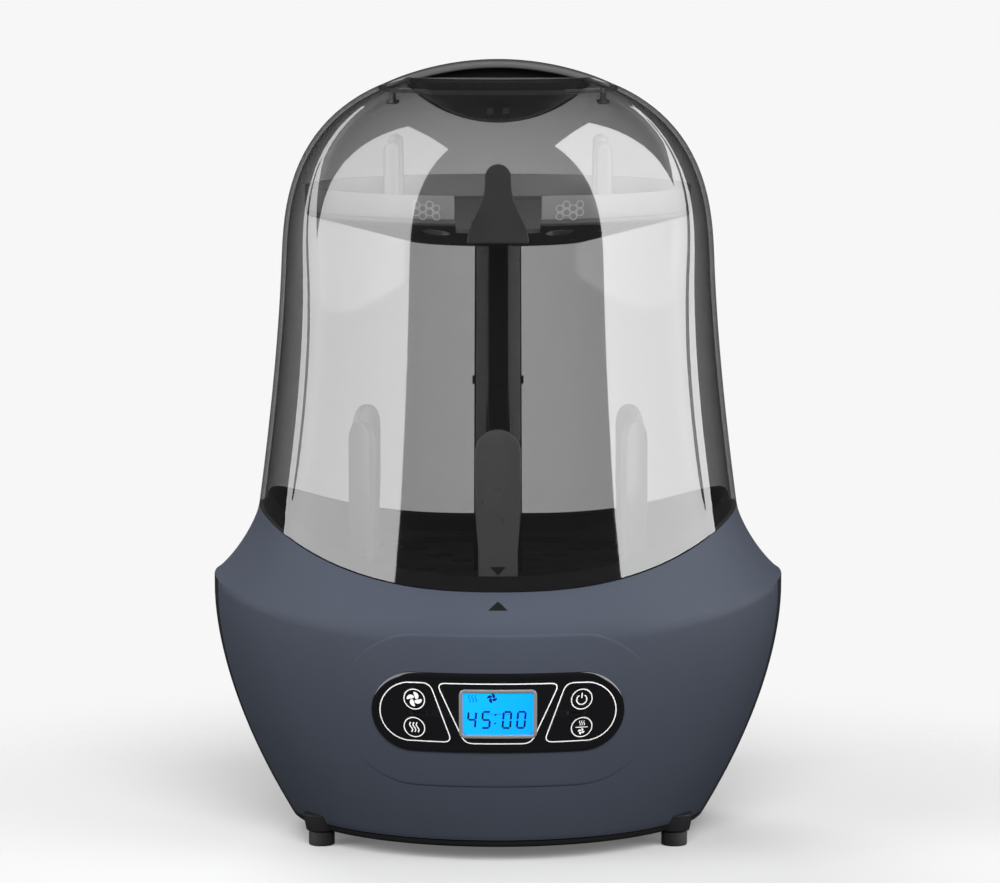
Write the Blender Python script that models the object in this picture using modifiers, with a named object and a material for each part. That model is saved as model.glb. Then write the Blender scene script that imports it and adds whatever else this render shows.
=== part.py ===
"""Electric bottle sterilizer and dryer: a smoky clear dome over two racks, on a bowl-shaped base.

Metres, +Z up, the front faces -Y. The origin is on the table, under the middle of the base.
Run it with: blender --background --python part.py
"""

import math

import bmesh
import bpy
from mathutils import Matrix, Vector

# ---------------------------------------------------------------- driving sizes

GAP = 0.0003            # clearance between pieces that touch
RUN_GAP = 0.0008        # clearance round a piece that slides or lifts off
SLACK = 0.02            # how far a cutter reaches past what it cuts
ROUND_STEPS = 40        # sides of the large turned and lofted shells
SMALL_STEPS = 16        # sides of small turned pieces

# The base: a bowl on four feet, with a skirt that rises to the dome's seam at both sides.
FOOT_HEIGHT = 0.008
BOWL_TOP_R = 0.147
BOWL_BOTTOM_R = 0.1065
BOWL_TOP_Z = 0.126
BOWL_CURVE = 1.75
PLAN_RATIO = 0.965      # the base's depth over its width
BASE_WALL = 0.0026
SHOULDER_FRONT_Z = 0.118
SHOULDER_RISE = 0.0156
SEAM_FRONT_Z = 0.1407
SEAM_RISE = 0.0285
SADDLE_POWER = 2.7
APRON_PLANE_Y = -0.030  # the slate front ends at this upright plane
BOTTOM_LIP = 0.0037     # the dark housing's lip under the slate front

# The dome.
DOME_WALL = 0.0024
DOME_BARREL_R = 0.1106
DOME_FLARE = 0.017
DOME_APEX_Z = 0.3946
CROWN_HEIGHT = 0.0996
DOME_CROWN_Z = DOME_APEX_Z - CROWN_HEIGHT
DOME_FLARE_TOP_Z = DOME_CROWN_Z + 0.015
DOME_CROWN_POWER = 2.5

# The finger well in the dome's top and the handle across it.
HANDLE_HALF_LENGTH = 0.058
HANDLE_HALF_WIDTH = 0.017
WELL_R = HANDLE_HALF_LENGTH - 0.010
DOME_OPENING_R = HANDLE_HALF_LENGTH + 0.004
WELL_BOTTOM_Z = DOME_APEX_Z - 0.0266
WELL_WALL = 0.0022
FLANGE_THICKNESS = 0.0070
FLANGE_LIP = 0.0050     # how far the flange reaches under the dome, round its opening
VENT_SLOT_X = 0.004
VENT_SLOT_WIDTH = 0.003
VENT_SLOT_LENGTH = 0.014
VENT_SLOT_FRONT_Y = -0.033
HANDLE_TOP_Z = DOME_APEX_Z + 0.0039
HANDLE_THICKNESS = 0.0036
HANDLE_END_PROUD = 0.0004
HANDLE_SCREW_X = HANDLE_HALF_LENGTH - 0.004
HANDLE_SCREW_Y = 0.009

# The basin inside the seam, and what heats the water.
COLLAR_RISE = 0.007
COLLAR_WALL = 0.0025
BASIN_FLOOR_Z = 0.112
BASIN_FLOOR_WALL = 0.0026
BASIN_LEDGE_INSET = 0.0195      # from the seam's widest radius in to the ledge's bore
BASIN_LEDGE_Z = 0.1267
PLATE_OPENING_R = 0.070
PLATE_R = 0.076
PLATE_THICKNESS = 0.002
SEAL_THICKNESS = 0.0019
ELEMENT_RING_R = 0.048
ELEMENT_TUBE_R = 0.0035

# The air path: drawer with a filter, blower, duct with a heater, outlet through the plate.
BLOWER_Y = 0.040
BLOWER_R = 0.038
BLOWER_BOTTOM_Z = 0.034
BLOWER_TOP_Z = 0.060
BLOWER_WALL = 0.002
INTAKE_R = 0.016
IMPELLER_R = 0.031
IMPELLER_BLADES = 12
SHAFT_R = 0.002
MOTOR_R = 0.016
MOTOR_BOTTOM_Z = 0.015
DUCT_R = 0.018
DUCT_WALL = 0.002
OUTLET_R = 0.0135
OUTLET_WALL = 0.0022
OUTLET_TOP_Z = 0.128
HEATER_SIZE = 0.020
HEATER_BOTTOM_Z = 0.066
HEATER_HEIGHT = 0.016
DRAWER_HALF_WIDTH = 0.030
DRAWER_BOTTOM_Z = 0.060
DRAWER_HEIGHT = 0.022
DRAWER_DEPTH = 0.034
DRAWER_WALL = 0.0016
FILTER_THICKNESS = 0.010
SLEEVE_WALL = 0.0022
SLEEVE_BACK_ROOM = 0.0057       # behind the pulled-in drawer, inside the sleeve

# The racks.
TRAY_INSET = 0.0125     # from the seam's widest radius in to the tray
TRAY_FLOOR_Z = 0.1312
TRAY_FLOOR_WALL = 0.0028
TRAY_RIM_WALL = 0.002
TRAY_RIM_TOP_Z = 0.137
TOWER_R = 0.0135
TOWER_WALL = 0.002
TOWER_TOP_Z = DOME_CROWN_Z + 0.010
SPIGOT_LENGTH = 0.006
POST_COUNT = 6
POST_CIRCLE_R = 0.080
POST_WIDTH = 0.023
POST_NECK_WIDTH = 0.020
POST_NECK_Z = 0.165
POST_TOP_Z = 0.216
POST_THICKNESS = 0.004
RACK_CLEARANCE = 0.0044 # between the upper rack's ring and the dome's wall
RACK_RING_WALL = 0.002
RACK_RING_BOTTOM_Z = TOWER_TOP_Z + 0.014
RACK_RING_TOP_Z = RACK_RING_BOTTOM_Z + 0.015
RACK_GAP_HALF = 0.021
RACK_GAP_DEPTH = 0.008  # the front gap reaches this far behind the tongue
RACK_HOLE_R = 0.007
RACK_HOLE_INSET = 0.0194
RACK_HOLE_COUNT = 8
RACK_DISH_R = 0.046
RACK_FLOOR_WALL = 0.002
PEG_R = 0.004
PEG_CIRCLE_R = 0.070
PEG_AZIMUTHS = (50, 130, 230, 310)
PEG_TOP_Z = TOWER_TOP_Z + 0.053
TONGUE_BOTTOM_Z = TOWER_TOP_Z + 0.0045
TONGUE_TOP_Z = TOWER_TOP_Z + 0.044
TONGUE_NECK = 0.013
TONGUE_FLARE = 0.031
TONGUE_INSET = 0.0134   # from the rack's outside in to the tongue's middle
TONGUE_THICKNESS = 0.003

# The control panel, which follows the base's front.
PANEL_Z = 0.0815
PANEL_LENGTH = 0.125
PANEL_HEIGHT = 0.0415
PANEL_PROUD = 0.0012
PANEL_DEPTH = 0.0042
SCREEN_WIDTH = 0.0375
SCREEN_HEIGHT = 0.0248
BUTTON_R = 0.0058
BUTTON_X = 0.0407
BUTTON_HALF_PITCH = 0.0073
BUTTON_PROUD = 0.0020
BUTTON_LENGTH = 0.0075
BOARD_THICKNESS = 0.0016
DISPLAY_BOARD_BACK = 0.024

# Feet and fasteners.
FOOT_X = 0.090
FOOT_Y = 0.055
FOOT_R = 0.0066
FOOT_STEM_R = 0.0024
FOOT_STEM_LENGTH = 0.006
BOSS_R = 0.0078
BOSS_TOP_R = 0.0112
BOSS_HEIGHT = 0.0165
COVER_R = 0.097
COVER_THICKNESS = 0.0026
LEDGE_INNER_R = 0.086
LEDGE_OUTER_R = 0.100
LEDGE_THICKNESS = 0.0025
SCREW_CIRCLE_R = 0.0915
SCREW_R = 0.0015
SCREW_HEAD_R = 0.0032
SCREW_HEAD_HEIGHT = 0.0015

# ---------------------------------------------------------------- scene and materials


def clear_scene():
    for obj in list(bpy.data.objects):
        bpy.data.objects.remove(obj)


def new_collection(name):
    collection = bpy.data.collections.new(name)
    bpy.context.scene.collection.children.link(collection)
    return collection


def principled(name, color, roughness, metallic=0.0, alpha=1.0):
    material = bpy.data.materials.new(name)
    material.use_nodes = True
    shader = material.node_tree.nodes["Principled BSDF"]
    shader.inputs["Base Color"].default_value = (*color, 1.0)
    shader.inputs["Roughness"].default_value = roughness
    shader.inputs["Metallic"].default_value = metallic
    shader.inputs["Alpha"].default_value = alpha
    material.diffuse_color = (*color, alpha)
    return material


clear_scene()
PARTS = new_collection("bottle_sterilizer")
CUTTERS = new_collection("cutters")

SLATE = principled("slate_plastic", (0.085, 0.095, 0.120), 0.35)
BLACK = principled("black_plastic", (0.012, 0.012, 0.013), 0.40)
PANEL = principled("panel_black", (0.006, 0.006, 0.007), 0.12)
SMOKE = principled("smoky_clear", (0.30, 0.30, 0.31), 0.05, alpha=0.35)
TINTED = principled("tinted_clear", (0.16, 0.16, 0.17), 0.12, alpha=0.6)
STEEL = principled("steel", (0.60, 0.60, 0.60), 0.30, metallic=1.0)
RUBBER = principled("rubber", (0.02, 0.02, 0.02), 0.75)
SILICONE = principled("seal_silicone", (0.55, 0.55, 0.55), 0.60)
SCREEN = principled("screen_blue", (0.010, 0.280, 1.0), 0.15)
GREEN = principled("circuit_board", (0.02, 0.18, 0.06), 0.50)
PAPER = principled("filter_paper", (0.85, 0.85, 0.82), 0.90)

# ---------------------------------------------------------------- modelling helpers


def add_object(name, bm, material, collection=None):
    """Makes an object of a bmesh, facing out. Without a material it is a cutter."""
    bmesh.ops.recalc_face_normals(bm, faces=bm.faces)
    mesh = bpy.data.meshes.new(name)
    bm.to_mesh(mesh)
    bm.free()
    obj = bpy.data.objects.new(name, mesh)
    if material is None:
        CUTTERS.objects.link(obj)
        obj.hide_render = True
        obj.display_type = "WIRE"
    else:
        PARTS.objects.link(obj)
        mesh.materials.append(material)
        mesh.shade_smooth()
        mesh.set_sharp_from_angle(angle=math.radians(35))
    return obj


def combine(target, operation, *others):
    for other in others:
        modifier = target.modifiers.new(other.name, "BOOLEAN")
        modifier.operation = operation
        modifier.object = other
        modifier.solver = "EXACT"
    return target


def cut(target, *cutters):
    return combine(target, "DIFFERENCE", *cutters)


def join(target, *pieces):
    """Joins helper shapes, made without a material, onto the target."""
    return combine(target, "UNION", *pieces)


def keep_inside(target, *regions):
    return combine(target, "INTERSECT", *regions)


def turned(name, profile, material, steps=SMALL_STEPS, at=(0, 0, 0)):
    """A turned solid. The profile's (radius, height) points run down the outer side."""
    mesh = bpy.data.meshes.new(name)
    on_axis = profile[0][0] == 0 or profile[-1][0] == 0
    count = len(profile)
    edges = [(i, i + 1) for i in range(count - 1)]
    if not on_axis:
        edges.append((count - 1, 0))
    mesh.from_pydata([(r, 0, z) for r, z in profile], edges, [])
    obj = bpy.data.objects.new(name, mesh)
    if material is None:
        CUTTERS.objects.link(obj)
        obj.hide_render = True
        obj.display_type = "WIRE"
    else:
        PARTS.objects.link(obj)
        mesh.materials.append(material)
    screw = obj.modifiers.new("turn", "SCREW")
    screw.steps = steps
    screw.render_steps = steps
    screw.use_smooth_shade = True
    screw.use_merge_vertices = True
    screw.merge_threshold = 0.00001
    obj.location = at
    return obj


def rod(name, radius, bottom, top, material, x=0.0, y=0.0, steps=SMALL_STEPS):
    """An upright cylinder."""
    profile = [(0, top), (radius, top), (radius, bottom), (0, bottom)]
    return turned(name, profile, material, steps, (x, y, 0))


def tube(name, radius, bore, bottom, top, material, x=0.0, y=0.0, steps=SMALL_STEPS):
    """An upright cylinder with a round bore."""
    profile = [(radius, top), (radius, bottom), (bore, bottom), (bore, top)]
    return turned(name, profile, material, steps, (x, y, 0))


def block(name, low, high, material, bevel=0.0):
    """A box between two corners, with its vertical edges rounded where a bevel is given."""
    bm = bmesh.new()
    bmesh.ops.create_cube(bm, size=1)
    low, high = Vector(low), Vector(high)
    bmesh.ops.transform(bm, matrix=Matrix.Diagonal((*(high - low), 1)), verts=bm.verts)
    bmesh.ops.translate(bm, vec=(low + high) / 2, verts=bm.verts)
    if bevel:
        upright = [e for e in bm.edges if abs(e.verts[0].co.z - e.verts[1].co.z) > GAP]
        bmesh.ops.bevel(bm, geom=upright, offset=bevel, segments=2, affect="EDGES", profile=0.5)
    return add_object(name, bm, material)


def prism(name, outline, front, back, material):
    """An outline of (x, z) points, extruded from y = front to y = back."""
    bm = bmesh.new()
    face = bm.faces.new([bm.verts.new((x, front, z)) for x, z in outline])
    extruded = bmesh.ops.extrude_face_region(bm, geom=[face])["geom"]
    moved = [v for v in extruded if isinstance(v, bmesh.types.BMVert)]
    bmesh.ops.translate(bm, vec=(0, back - front, 0), verts=moved)
    return add_object(name, bm, material)


def lofted(name, section_at, material, steps=ROUND_STEPS):
    """A closed ring whose (radius, height) section changes with the azimuth from the front."""
    bm = bmesh.new()
    rows = []
    for step in range(steps):
        azimuth = 2 * math.pi * step / steps
        row = [
            bm.verts.new((r * math.sin(azimuth), -r * math.cos(azimuth), z))
            for r, z in section_at(azimuth)
        ]
        rows.append(row)
    size = len(rows[0])
    for i, row in enumerate(rows):
        following = rows[(i + 1) % steps]
        for j in range(size):
            k = (j + 1) % size
            bm.faces.new((row[j], following[j], following[k], row[k]))
    return add_object(name, bm, material)


def offset_line(points, distance):
    """A (radius, height) line moved sideways, to its right as it runs down, by the distance."""
    moved = []
    for i, point in enumerate(points):
        here = Vector(point)
        before = here - Vector(points[i - 1]) if i > 0 else None
        after = Vector(points[i + 1]) - here if i + 1 < len(points) else None
        sides = [Vector((-d.y, d.x)).normalized() for d in (before, after) if d is not None]
        side = sum(sides, Vector((0, 0))).normalized()
        stretch = 1 / max(side.dot(sides[0]), 0.4)
        moved.append(tuple(here - side * distance * stretch))
    return moved


def stadium(center_x, center_z, length, height, steps=10):
    """A rounded bar of (x, z) points with half-round ends."""
    radius = height / 2
    straight = length / 2 - radius
    points = []
    for side in (1, -1):
        for i in range(steps + 1):
            angle = math.pi * (i / steps - 0.5)
            x = side * (straight + radius * math.cos(angle))
            z = side * radius * math.sin(angle)
            points.append((center_x + x, center_z + z))
    return points


def rectangle(half_width, bottom, top, center_x=0.0):
    left, right = center_x - half_width, center_x + half_width
    return [(left, bottom), (right, bottom), (right, top), (left, top)]


def spread(start, end, count):
    """Evenly spaced values from start to end, both included."""
    return [start + (end - start) * i / (count - 1) for i in range(count)]


def quarter_turn(count):
    return spread(0, math.pi / 2, count)


# ---------------------------------------------------------------- the shapes of the shells


def saddle(x, front_z, rise, half_width):
    """A height that is lowest at the front and back and rises towards both sides."""
    return front_z + rise * (min(abs(x) / half_width, 1.2)) ** SADDLE_POWER


def dome_radius(z):
    flare = max(0.0, (DOME_FLARE_TOP_Z - z) / (DOME_FLARE_TOP_Z - SEAM_FRONT_Z))
    barrel = DOME_BARREL_R + DOME_FLARE * flare**1.5
    crown = max(0.0, (z - DOME_CROWN_Z) / (DOME_APEX_Z - DOME_CROWN_Z))
    return barrel * (1 - crown**DOME_CROWN_POWER) ** (1 / DOME_CROWN_POWER)


def dome_height(radius):
    """The crown's height at a radius, found by halving."""
    low, high = DOME_CROWN_Z, DOME_APEX_Z
    for _ in range(40):
        middle = (low + high) / 2
        if dome_radius(middle) > radius:
            low = middle
        else:
            high = middle
    return low


# Sizes that follow the dome, so that what stands inside it always fits.
SEAM_SIDE_R = dome_radius(SEAM_FRONT_Z + SEAM_RISE)
TRAY_R = SEAM_SIDE_R - TRAY_INSET
BASIN_LEDGE_R = SEAM_SIDE_R - BASIN_LEDGE_INSET
RACK_R = dome_radius(RACK_RING_TOP_Z) - DOME_WALL - RACK_CLEARANCE
TONGUE_Y = -(RACK_R - TONGUE_INSET)
WELL_FLANGE_BOTTOM_Z = dome_height(DOME_OPENING_R) - FLANGE_THICKNESS
HANDLE_RISE = HANDLE_TOP_Z - dome_height(HANDLE_HALF_LENGTH) - HANDLE_END_PROUD
HANDLE_ARC_R = (HANDLE_HALF_LENGTH**2 + HANDLE_RISE**2) / (2 * HANDLE_RISE)


def crown_slope(radius):
    """How steeply the crown falls just outside a radius, as an angle."""
    step = 2 * DOME_WALL
    return math.atan2(dome_height(radius) - dome_height(radius + step), step)


def dome_underside(radius):
    """The height of the crown's inner face at a radius."""
    return dome_height(radius) - DOME_WALL / math.cos(crown_slope(radius))


def seam_height(x):
    return saddle(x, SEAM_FRONT_Z, SEAM_RISE, SEAM_SIDE_R)


def seam_point(azimuth):
    """(radius, height) of the seam at an azimuth."""
    z = SEAM_FRONT_Z
    for _ in range(12):
        z = seam_height(dome_radius(z) * math.sin(azimuth))
    return dome_radius(z), z


def bowl_radius(z):
    fullness = min(1.0, max(0.0, (z - FOOT_HEIGHT) / (BOWL_TOP_Z - FOOT_HEIGHT)))
    return BOWL_TOP_R - (BOWL_TOP_R - BOWL_BOTTOM_R) * (1 - fullness) ** BOWL_CURVE


def plan_factor(azimuth):
    """How much nearer the base's outside is at an azimuth than at its sides."""
    return 1 / math.hypot(math.sin(azimuth), math.cos(azimuth) / PLAN_RATIO)


def shoulder_height(x):
    return saddle(x, SHOULDER_FRONT_Z, SHOULDER_RISE, BOWL_TOP_R)


def shoulder_point(azimuth):
    z = SHOULDER_FRONT_Z
    for _ in range(6):
        radius = bowl_radius(z) * plan_factor(azimuth)
        z = shoulder_height(radius * math.sin(azimuth))
    return bowl_radius(z) * plan_factor(azimuth), z


def skirt_line(azimuth, count=6):
    """The skirt from the seam to the shoulder: hollow at the sides, full at the front."""
    seam_r, seam_z = seam_point(azimuth)
    end_r, end_z = shoulder_point(azimuth)
    side = math.sin(azimuth) ** 2
    across = 1.2 - 0.45 * side
    down = 0.55 + 0.65 * side
    points = []
    for v in spread(0, 1, count):
        height = (1 - v**across) ** down
        points.append((seam_r + (end_r - seam_r) * v, end_z + (seam_z - end_z) * height))
    return points


def bowl_line(azimuth, bottom, count=7):
    """The bowl from just under the shoulder down to a height."""
    top = shoulder_point(azimuth)[1]
    heights = [bottom + (top - bottom) * (1 - i / count) for i in range(1, count + 1)]
    return [(bowl_radius(z) * plan_factor(azimuth), z) for z in heights]


def base_line(azimuth):
    return skirt_line(azimuth) + bowl_line(azimuth, FOOT_HEIGHT)


def skin_section(azimuth, proud, depth):
    """A band that follows the base's outside, from proud of it to deep inside it."""
    line = base_line(azimuth)
    return offset_line(line, -proud) + offset_line(line, depth)[::-1]


def front_y(x, z):
    """Where the base's front is, at a place beside the middle."""
    azimuth = math.asin(x / (bowl_radius(z) * PLAN_RATIO))
    return -bowl_radius(z) * plan_factor(azimuth) * math.cos(azimuth)


SADDLE_STEPS = 24
REACH = 2 * BOWL_TOP_R  # past every side of the object
SHELL_CUT_Y = 0.08      # cutters for one wall of the base start this far from the middle


def saddle_prism(name, height_at, half_width, lift, bottom, front, back):
    """Everything under a saddle line, lifted a little, between two upright planes."""
    xs = spread(-half_width, half_width, SADDLE_STEPS + 1)
    line = [(x, height_at(x) + lift) for x in xs]
    outline = [(-REACH, line[0][1]), *line, (REACH, line[-1][1]), (REACH, bottom), (-REACH, bottom)]
    return prism(name, outline[::-1], front, back, None)


# ---------------------------------------------------------------- the lid


def make_dome():
    low = SEAM_FRONT_Z - 0.010
    crown_z = dome_height(DOME_OPENING_R)
    barrel = spread(low, DOME_CROWN_Z, 4)[:-1]
    crown = [DOME_CROWN_Z + (crown_z - DOME_CROWN_Z) * math.sin(t) for t in quarter_turn(7)]
    outer = [(dome_radius(z), z) for z in reversed(barrel + crown)]
    inner = offset_line(outer, DOME_WALL)[::-1]
    dome = turned("lid_dome", outer + inner, SMOKE, ROUND_STEPS)
    below_seam = saddle_prism("below_seam", seam_height, SEAM_SIDE_R * SADDLE_SPAN, GAP, 0.05, -REACH, REACH)
    return cut(dome, below_seam)


def arc_height(x, radius):
    """The height of the handle's arch at x, for its top or a parallel arch below it."""
    return HANDLE_TOP_Z - HANDLE_ARC_R + math.sqrt(radius**2 - x**2)


def handle_outline(grown):
    """The arch seen from the front, grown all round by a clearance."""
    reach = HANDLE_HALF_LENGTH + grown
    xs = spread(-reach, reach, 15)
    top = [(x, arc_height(x, HANDLE_ARC_R + grown)) for x in xs]
    under_r = HANDLE_ARC_R - HANDLE_THICKNESS - grown
    bottom = [(x, arc_height(x, under_r)) for x in reversed(xs)]
    return top + bottom


def well_line(count, sink=0.0):
    """The well's bowl from its rim to its middle, as an arc, sunk by a wall."""
    rim_z = dome_height(WELL_R)
    depth = rim_z - WELL_BOTTOM_Z
    radius = (WELL_R**2 + depth**2) / (2 * depth)
    half = math.asin(WELL_R / radius)
    center_z = WELL_BOTTOM_Z + radius
    angles = spread(half, 0, count)
    return [((radius + sink) * math.sin(t), center_z - (radius + sink) * math.cos(t)) for t in angles]


def screw_places(x, y):
    return [(x, y), (x, -y), (-x, -y), (-x, y)]


def screw_hole(name, bottom, top, x, y):
    return rod(name, SCREW_R + GAP, bottom, top, None, x, y, 12)


FLUSH_START = 0.001   # the well's bowl meets the crown this far inside the flush rim
LIP_FACE = 0.002   # height of the upright face above the flange's lip


def make_vent_cup():
    """The dished insert in the dome's opening: a finger well with a flange under the handle's ends."""
    flange_r = DOME_OPENING_R - DOME_WALL * math.sin(crown_slope(DOME_OPENING_R)) - GAP
    lip_r = flange_r + FLANGE_LIP
    lip_z = dome_underside(lip_r) - RUN_GAP
    flush = [(r, dome_height(r)) for r in spread(WELL_R + FLUSH_START, flange_r, 4)]
    under = well_line(6, WELL_WALL)[1:]
    profile = [
        *well_line(6)[::-1],
        *flush,
        (flange_r, lip_z + LIP_FACE),
        (lip_r, lip_z),
        (lip_r, WELL_FLANGE_BOTTOM_Z),
        (WELL_R, WELL_FLANGE_BOTTOM_Z),
        *[point for point in under if point[1] < WELL_FLANGE_BOTTOM_Z - GAP],
    ]
    profile[0] = (0, WELL_BOTTOM_Z)
    profile[-1] = (0, WELL_BOTTOM_Z - WELL_WALL)
    cup = turned("lid_vent_cup", profile, TINTED, 28)
    half = HANDLE_HALF_WIDTH + GAP
    pocket = prism("handle_pocket", handle_outline(GAP), -half, half, None)
    # The pocket only sinks the handle's ends, so everything above them is cleared too.
    cut(cup, pocket)
    end_z = arc_height(HANDLE_HALF_LENGTH, HANDLE_ARC_R - HANDLE_THICKNESS) + HANDLE_THICKNESS / 2
    for side in (1, -1):
        ends = sorted((side * (WELL_R - 2 * LIP_FACE), side * (HANDLE_HALF_LENGTH + GAP)))
        low = (ends[0], -half, end_z)
        cut(cup, block(f"pocket_top_{side + 2}", low, (ends[1], half, HANDLE_TOP_Z), None))
    for i, (x, y) in enumerate(screw_places(HANDLE_SCREW_X, HANDLE_SCREW_Y)):
        cut(cup, screw_hole(f"cup_screw_hole_{i + 1}", WELL_BOTTOM_Z, HANDLE_TOP_Z, x, y))
    # Two upright vent slots in the front of the bowl let the steam out.
    half = VENT_SLOT_WIDTH / 2
    for side in (1, -1):
        x = side * VENT_SLOT_X
        low = (x - half, VENT_SLOT_FRONT_Y, WELL_BOTTOM_Z - SLACK)
        high = (x + half, VENT_SLOT_FRONT_Y + VENT_SLOT_LENGTH, WELL_BOTTOM_Z + SLACK)
        cut(cup, block(f"vent_slot_{side + 2}", low, high, None))
    return cup


HANDLE_SKIN = 0.0012   # plastic left over a handle screw's tip


def make_handle():
    handle = prism("lid_handle", handle_outline(0), -HANDLE_HALF_WIDTH, HANDLE_HALF_WIDTH, TINTED)
    for i, (x, y) in enumerate(screw_places(HANDLE_SCREW_X, HANDLE_SCREW_Y)):
        top = arc_height(abs(x), HANDLE_ARC_R) - HANDLE_SKIN
        cut(handle, screw_hole(f"handle_hole_{i + 1}", WELL_BOTTOM_Z, top, x, y))
        head_top = WELL_FLANGE_BOTTOM_Z - GAP
        make_screw(f"handle_screw_{i + 1}", x, y, head_top, top - GAP)
    return handle


SCREW_CHAMFER = 0.0006


def make_screw(name, x, y, head_top, tip):
    """A pan-head screw with its head below and its tip up."""
    head = head_top - SCREW_HEAD_HEIGHT
    profile = [
        (0, tip),
        (SCREW_R - SCREW_CHAMFER, tip),
        (SCREW_R, tip - SCREW_R),
        (SCREW_R, head_top),
        (SCREW_HEAD_R, head_top),
        (SCREW_HEAD_R, head + SCREW_CHAMFER),
        (SCREW_HEAD_R - SCREW_CHAMFER, head),
        (0, head),
    ]
    return turned(name, profile, STEEL, 8, (x, y, 0))


# ---------------------------------------------------------------- the base's shells


SADDLE_SPAN = 1.1   # a saddle cutter's half width over the half width that it spans


def rear_region(name, shrink):
    """Everything behind the apron's plane and below the shoulder."""
    front = APRON_PLANE_Y + shrink
    return saddle_prism(name, shoulder_height, BOWL_TOP_R * SADDLE_SPAN, -shrink, -SLACK, front, REACH)


def foot_places():
    return [(FOOT_X, -FOOT_Y), (-FOOT_X, -FOOT_Y), (FOOT_X, FOOT_Y), (-FOOT_X, FOOT_Y)]


BOSS_DROP = 0.0004   # how far the foot bosses stand below the bowl
BOSS_BOTTOM_Z = FOOT_HEIGHT - BOSS_DROP


def foot_boss(name, x, y, grown):
    top = FOOT_HEIGHT + BOSS_HEIGHT + grown
    bottom = BOSS_BOTTOM_Z - grown
    profile = [(0, top), (BOSS_TOP_R + grown, top), (BOSS_R + grown, bottom), (0, bottom)]
    return turned(name, profile, None, SMALL_STEPS, (x, y, 0))


def front_shell_section(azimuth):
    """The base's wall, carried on a little above the seam, where it is then cut to the saddle."""
    seam_z = seam_point(azimuth)[1]
    above = seam_z + 2 * BASE_WALL
    line = [(dome_radius(above), above)] + base_line(azimuth)
    return line + offset_line(line, BASE_WALL)[::-1]


def make_front_shell():
    shell = lofted("front_shell", front_shell_section, SLATE)
    under_seam = saddle_prism("under_seam", seam_height, SEAM_SIDE_R * SADDLE_SPAN, 0, -SLACK, -REACH, REACH)
    keep_inside(shell, under_seam)
    cut(shell, rear_region("rear_space", 0))
    lip_top = FOOT_HEIGHT + BOTTOM_LIP
    cut(shell, block("lip_space", (-REACH, -REACH, -SLACK), (REACH, APRON_PLANE_Y + SLACK, lip_top), None))
    hole = stadium(0, PANEL_Z, PANEL_LENGTH + 2 * GAP, PANEL_HEIGHT + 2 * GAP)
    cut(shell, prism("panel_hole", hole, -REACH, -SHELL_CUT_Y, None))
    for i, (x, y) in enumerate(foot_places()[:2]):
        cut(shell, foot_boss(f"boss_space_{i + 1}", x, y, GAP))
    return shell


def housing_section(azimuth):
    """The bowl's wall, with the bottom rim, the recess for the cover and the ledge above it."""
    outer = skirt_line(azimuth)[-2:] + bowl_line(azimuth, FOOT_HEIGHT)
    inner = offset_line(outer, BASE_WALL)[::-1]
    ledge_z = FOOT_HEIGHT + COVER_THICKNESS + GAP
    ledge_top = ledge_z + LEDGE_THICKNESS
    rim = [
        (COVER_R + GAP, FOOT_HEIGHT),
        (COVER_R + GAP, ledge_z),
        (LEDGE_INNER_R, ledge_z),
        (LEDGE_INNER_R, ledge_top),
        (LEDGE_OUTER_R, ledge_top),
    ]
    return outer + rim + inner[1:]


def make_rear_housing():
    housing = lofted("rear_housing", housing_section, BLACK)
    lip_top = FOOT_HEIGHT + BOTTOM_LIP - GAP
    # The slate apron takes the wall's place in front, above the lip; the ledge inside it stays.
    front = block("apron_space", (-REACH, -REACH, lip_top), (REACH, APRON_PLANE_Y + GAP, REACH), None)
    kept_r = LEDGE_OUTER_R + RUN_GAP
    cut(front, rod("ledge_kept", kept_r, -SLACK, 2 * FOOT_HEIGHT, None, steps=ROUND_STEPS))
    half = BOWL_TOP_R * SADDLE_SPAN
    keep_inside(housing, saddle_prism("under_shoulder", shoulder_height, half, -GAP, -SLACK, -REACH, REACH))
    cut(housing, front)
    for i, (x, y) in enumerate(foot_places()):
        join(housing, foot_boss(f"foot_boss_{i + 1}", x, y, 0))
        hole_top = BOSS_BOTTOM_Z + FOOT_STEM_LENGTH + GAP
        cut(housing, rod(f"stem_hole_{i + 1}", FOOT_STEM_R + GAP, -SLACK, hole_top, None, x, y, 12))
    top = DRAWER_BOTTOM_Z + DRAWER_HEIGHT + RUN_GAP
    opening = rectangle(DRAWER_HALF_WIDTH + RUN_GAP, DRAWER_BOTTOM_Z - RUN_GAP, top)
    cut(housing, prism("drawer_opening", opening, SHELL_CUT_Y, REACH, None))
    for i, (x, y) in enumerate(cover_screw_places()):
        cut(housing, screw_hole(f"ledge_hole_{i + 1}", 0, 2 * FOOT_HEIGHT, x, y))
    gland = gland_matrix()
    hole = rod("gland_hole", GLAND_R + GAP, -SLACK, SLACK, None, steps=SMALL_STEPS)
    hole.matrix_world = gland
    cut(housing, hole)
    return housing


def cover_screw_places():
    reach = SCREW_CIRCLE_R * math.sqrt(0.5)
    return screw_places(reach, reach)


COVER_VENT_COUNT = 6
COVER_VENT_REACH = 0.030   # from the middle to the outermost vent
COVER_VENT_HALF = 0.002
COVER_VENT_NEAR_Y = 0.015
COVER_VENT_FAR_Y = 0.060


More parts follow.
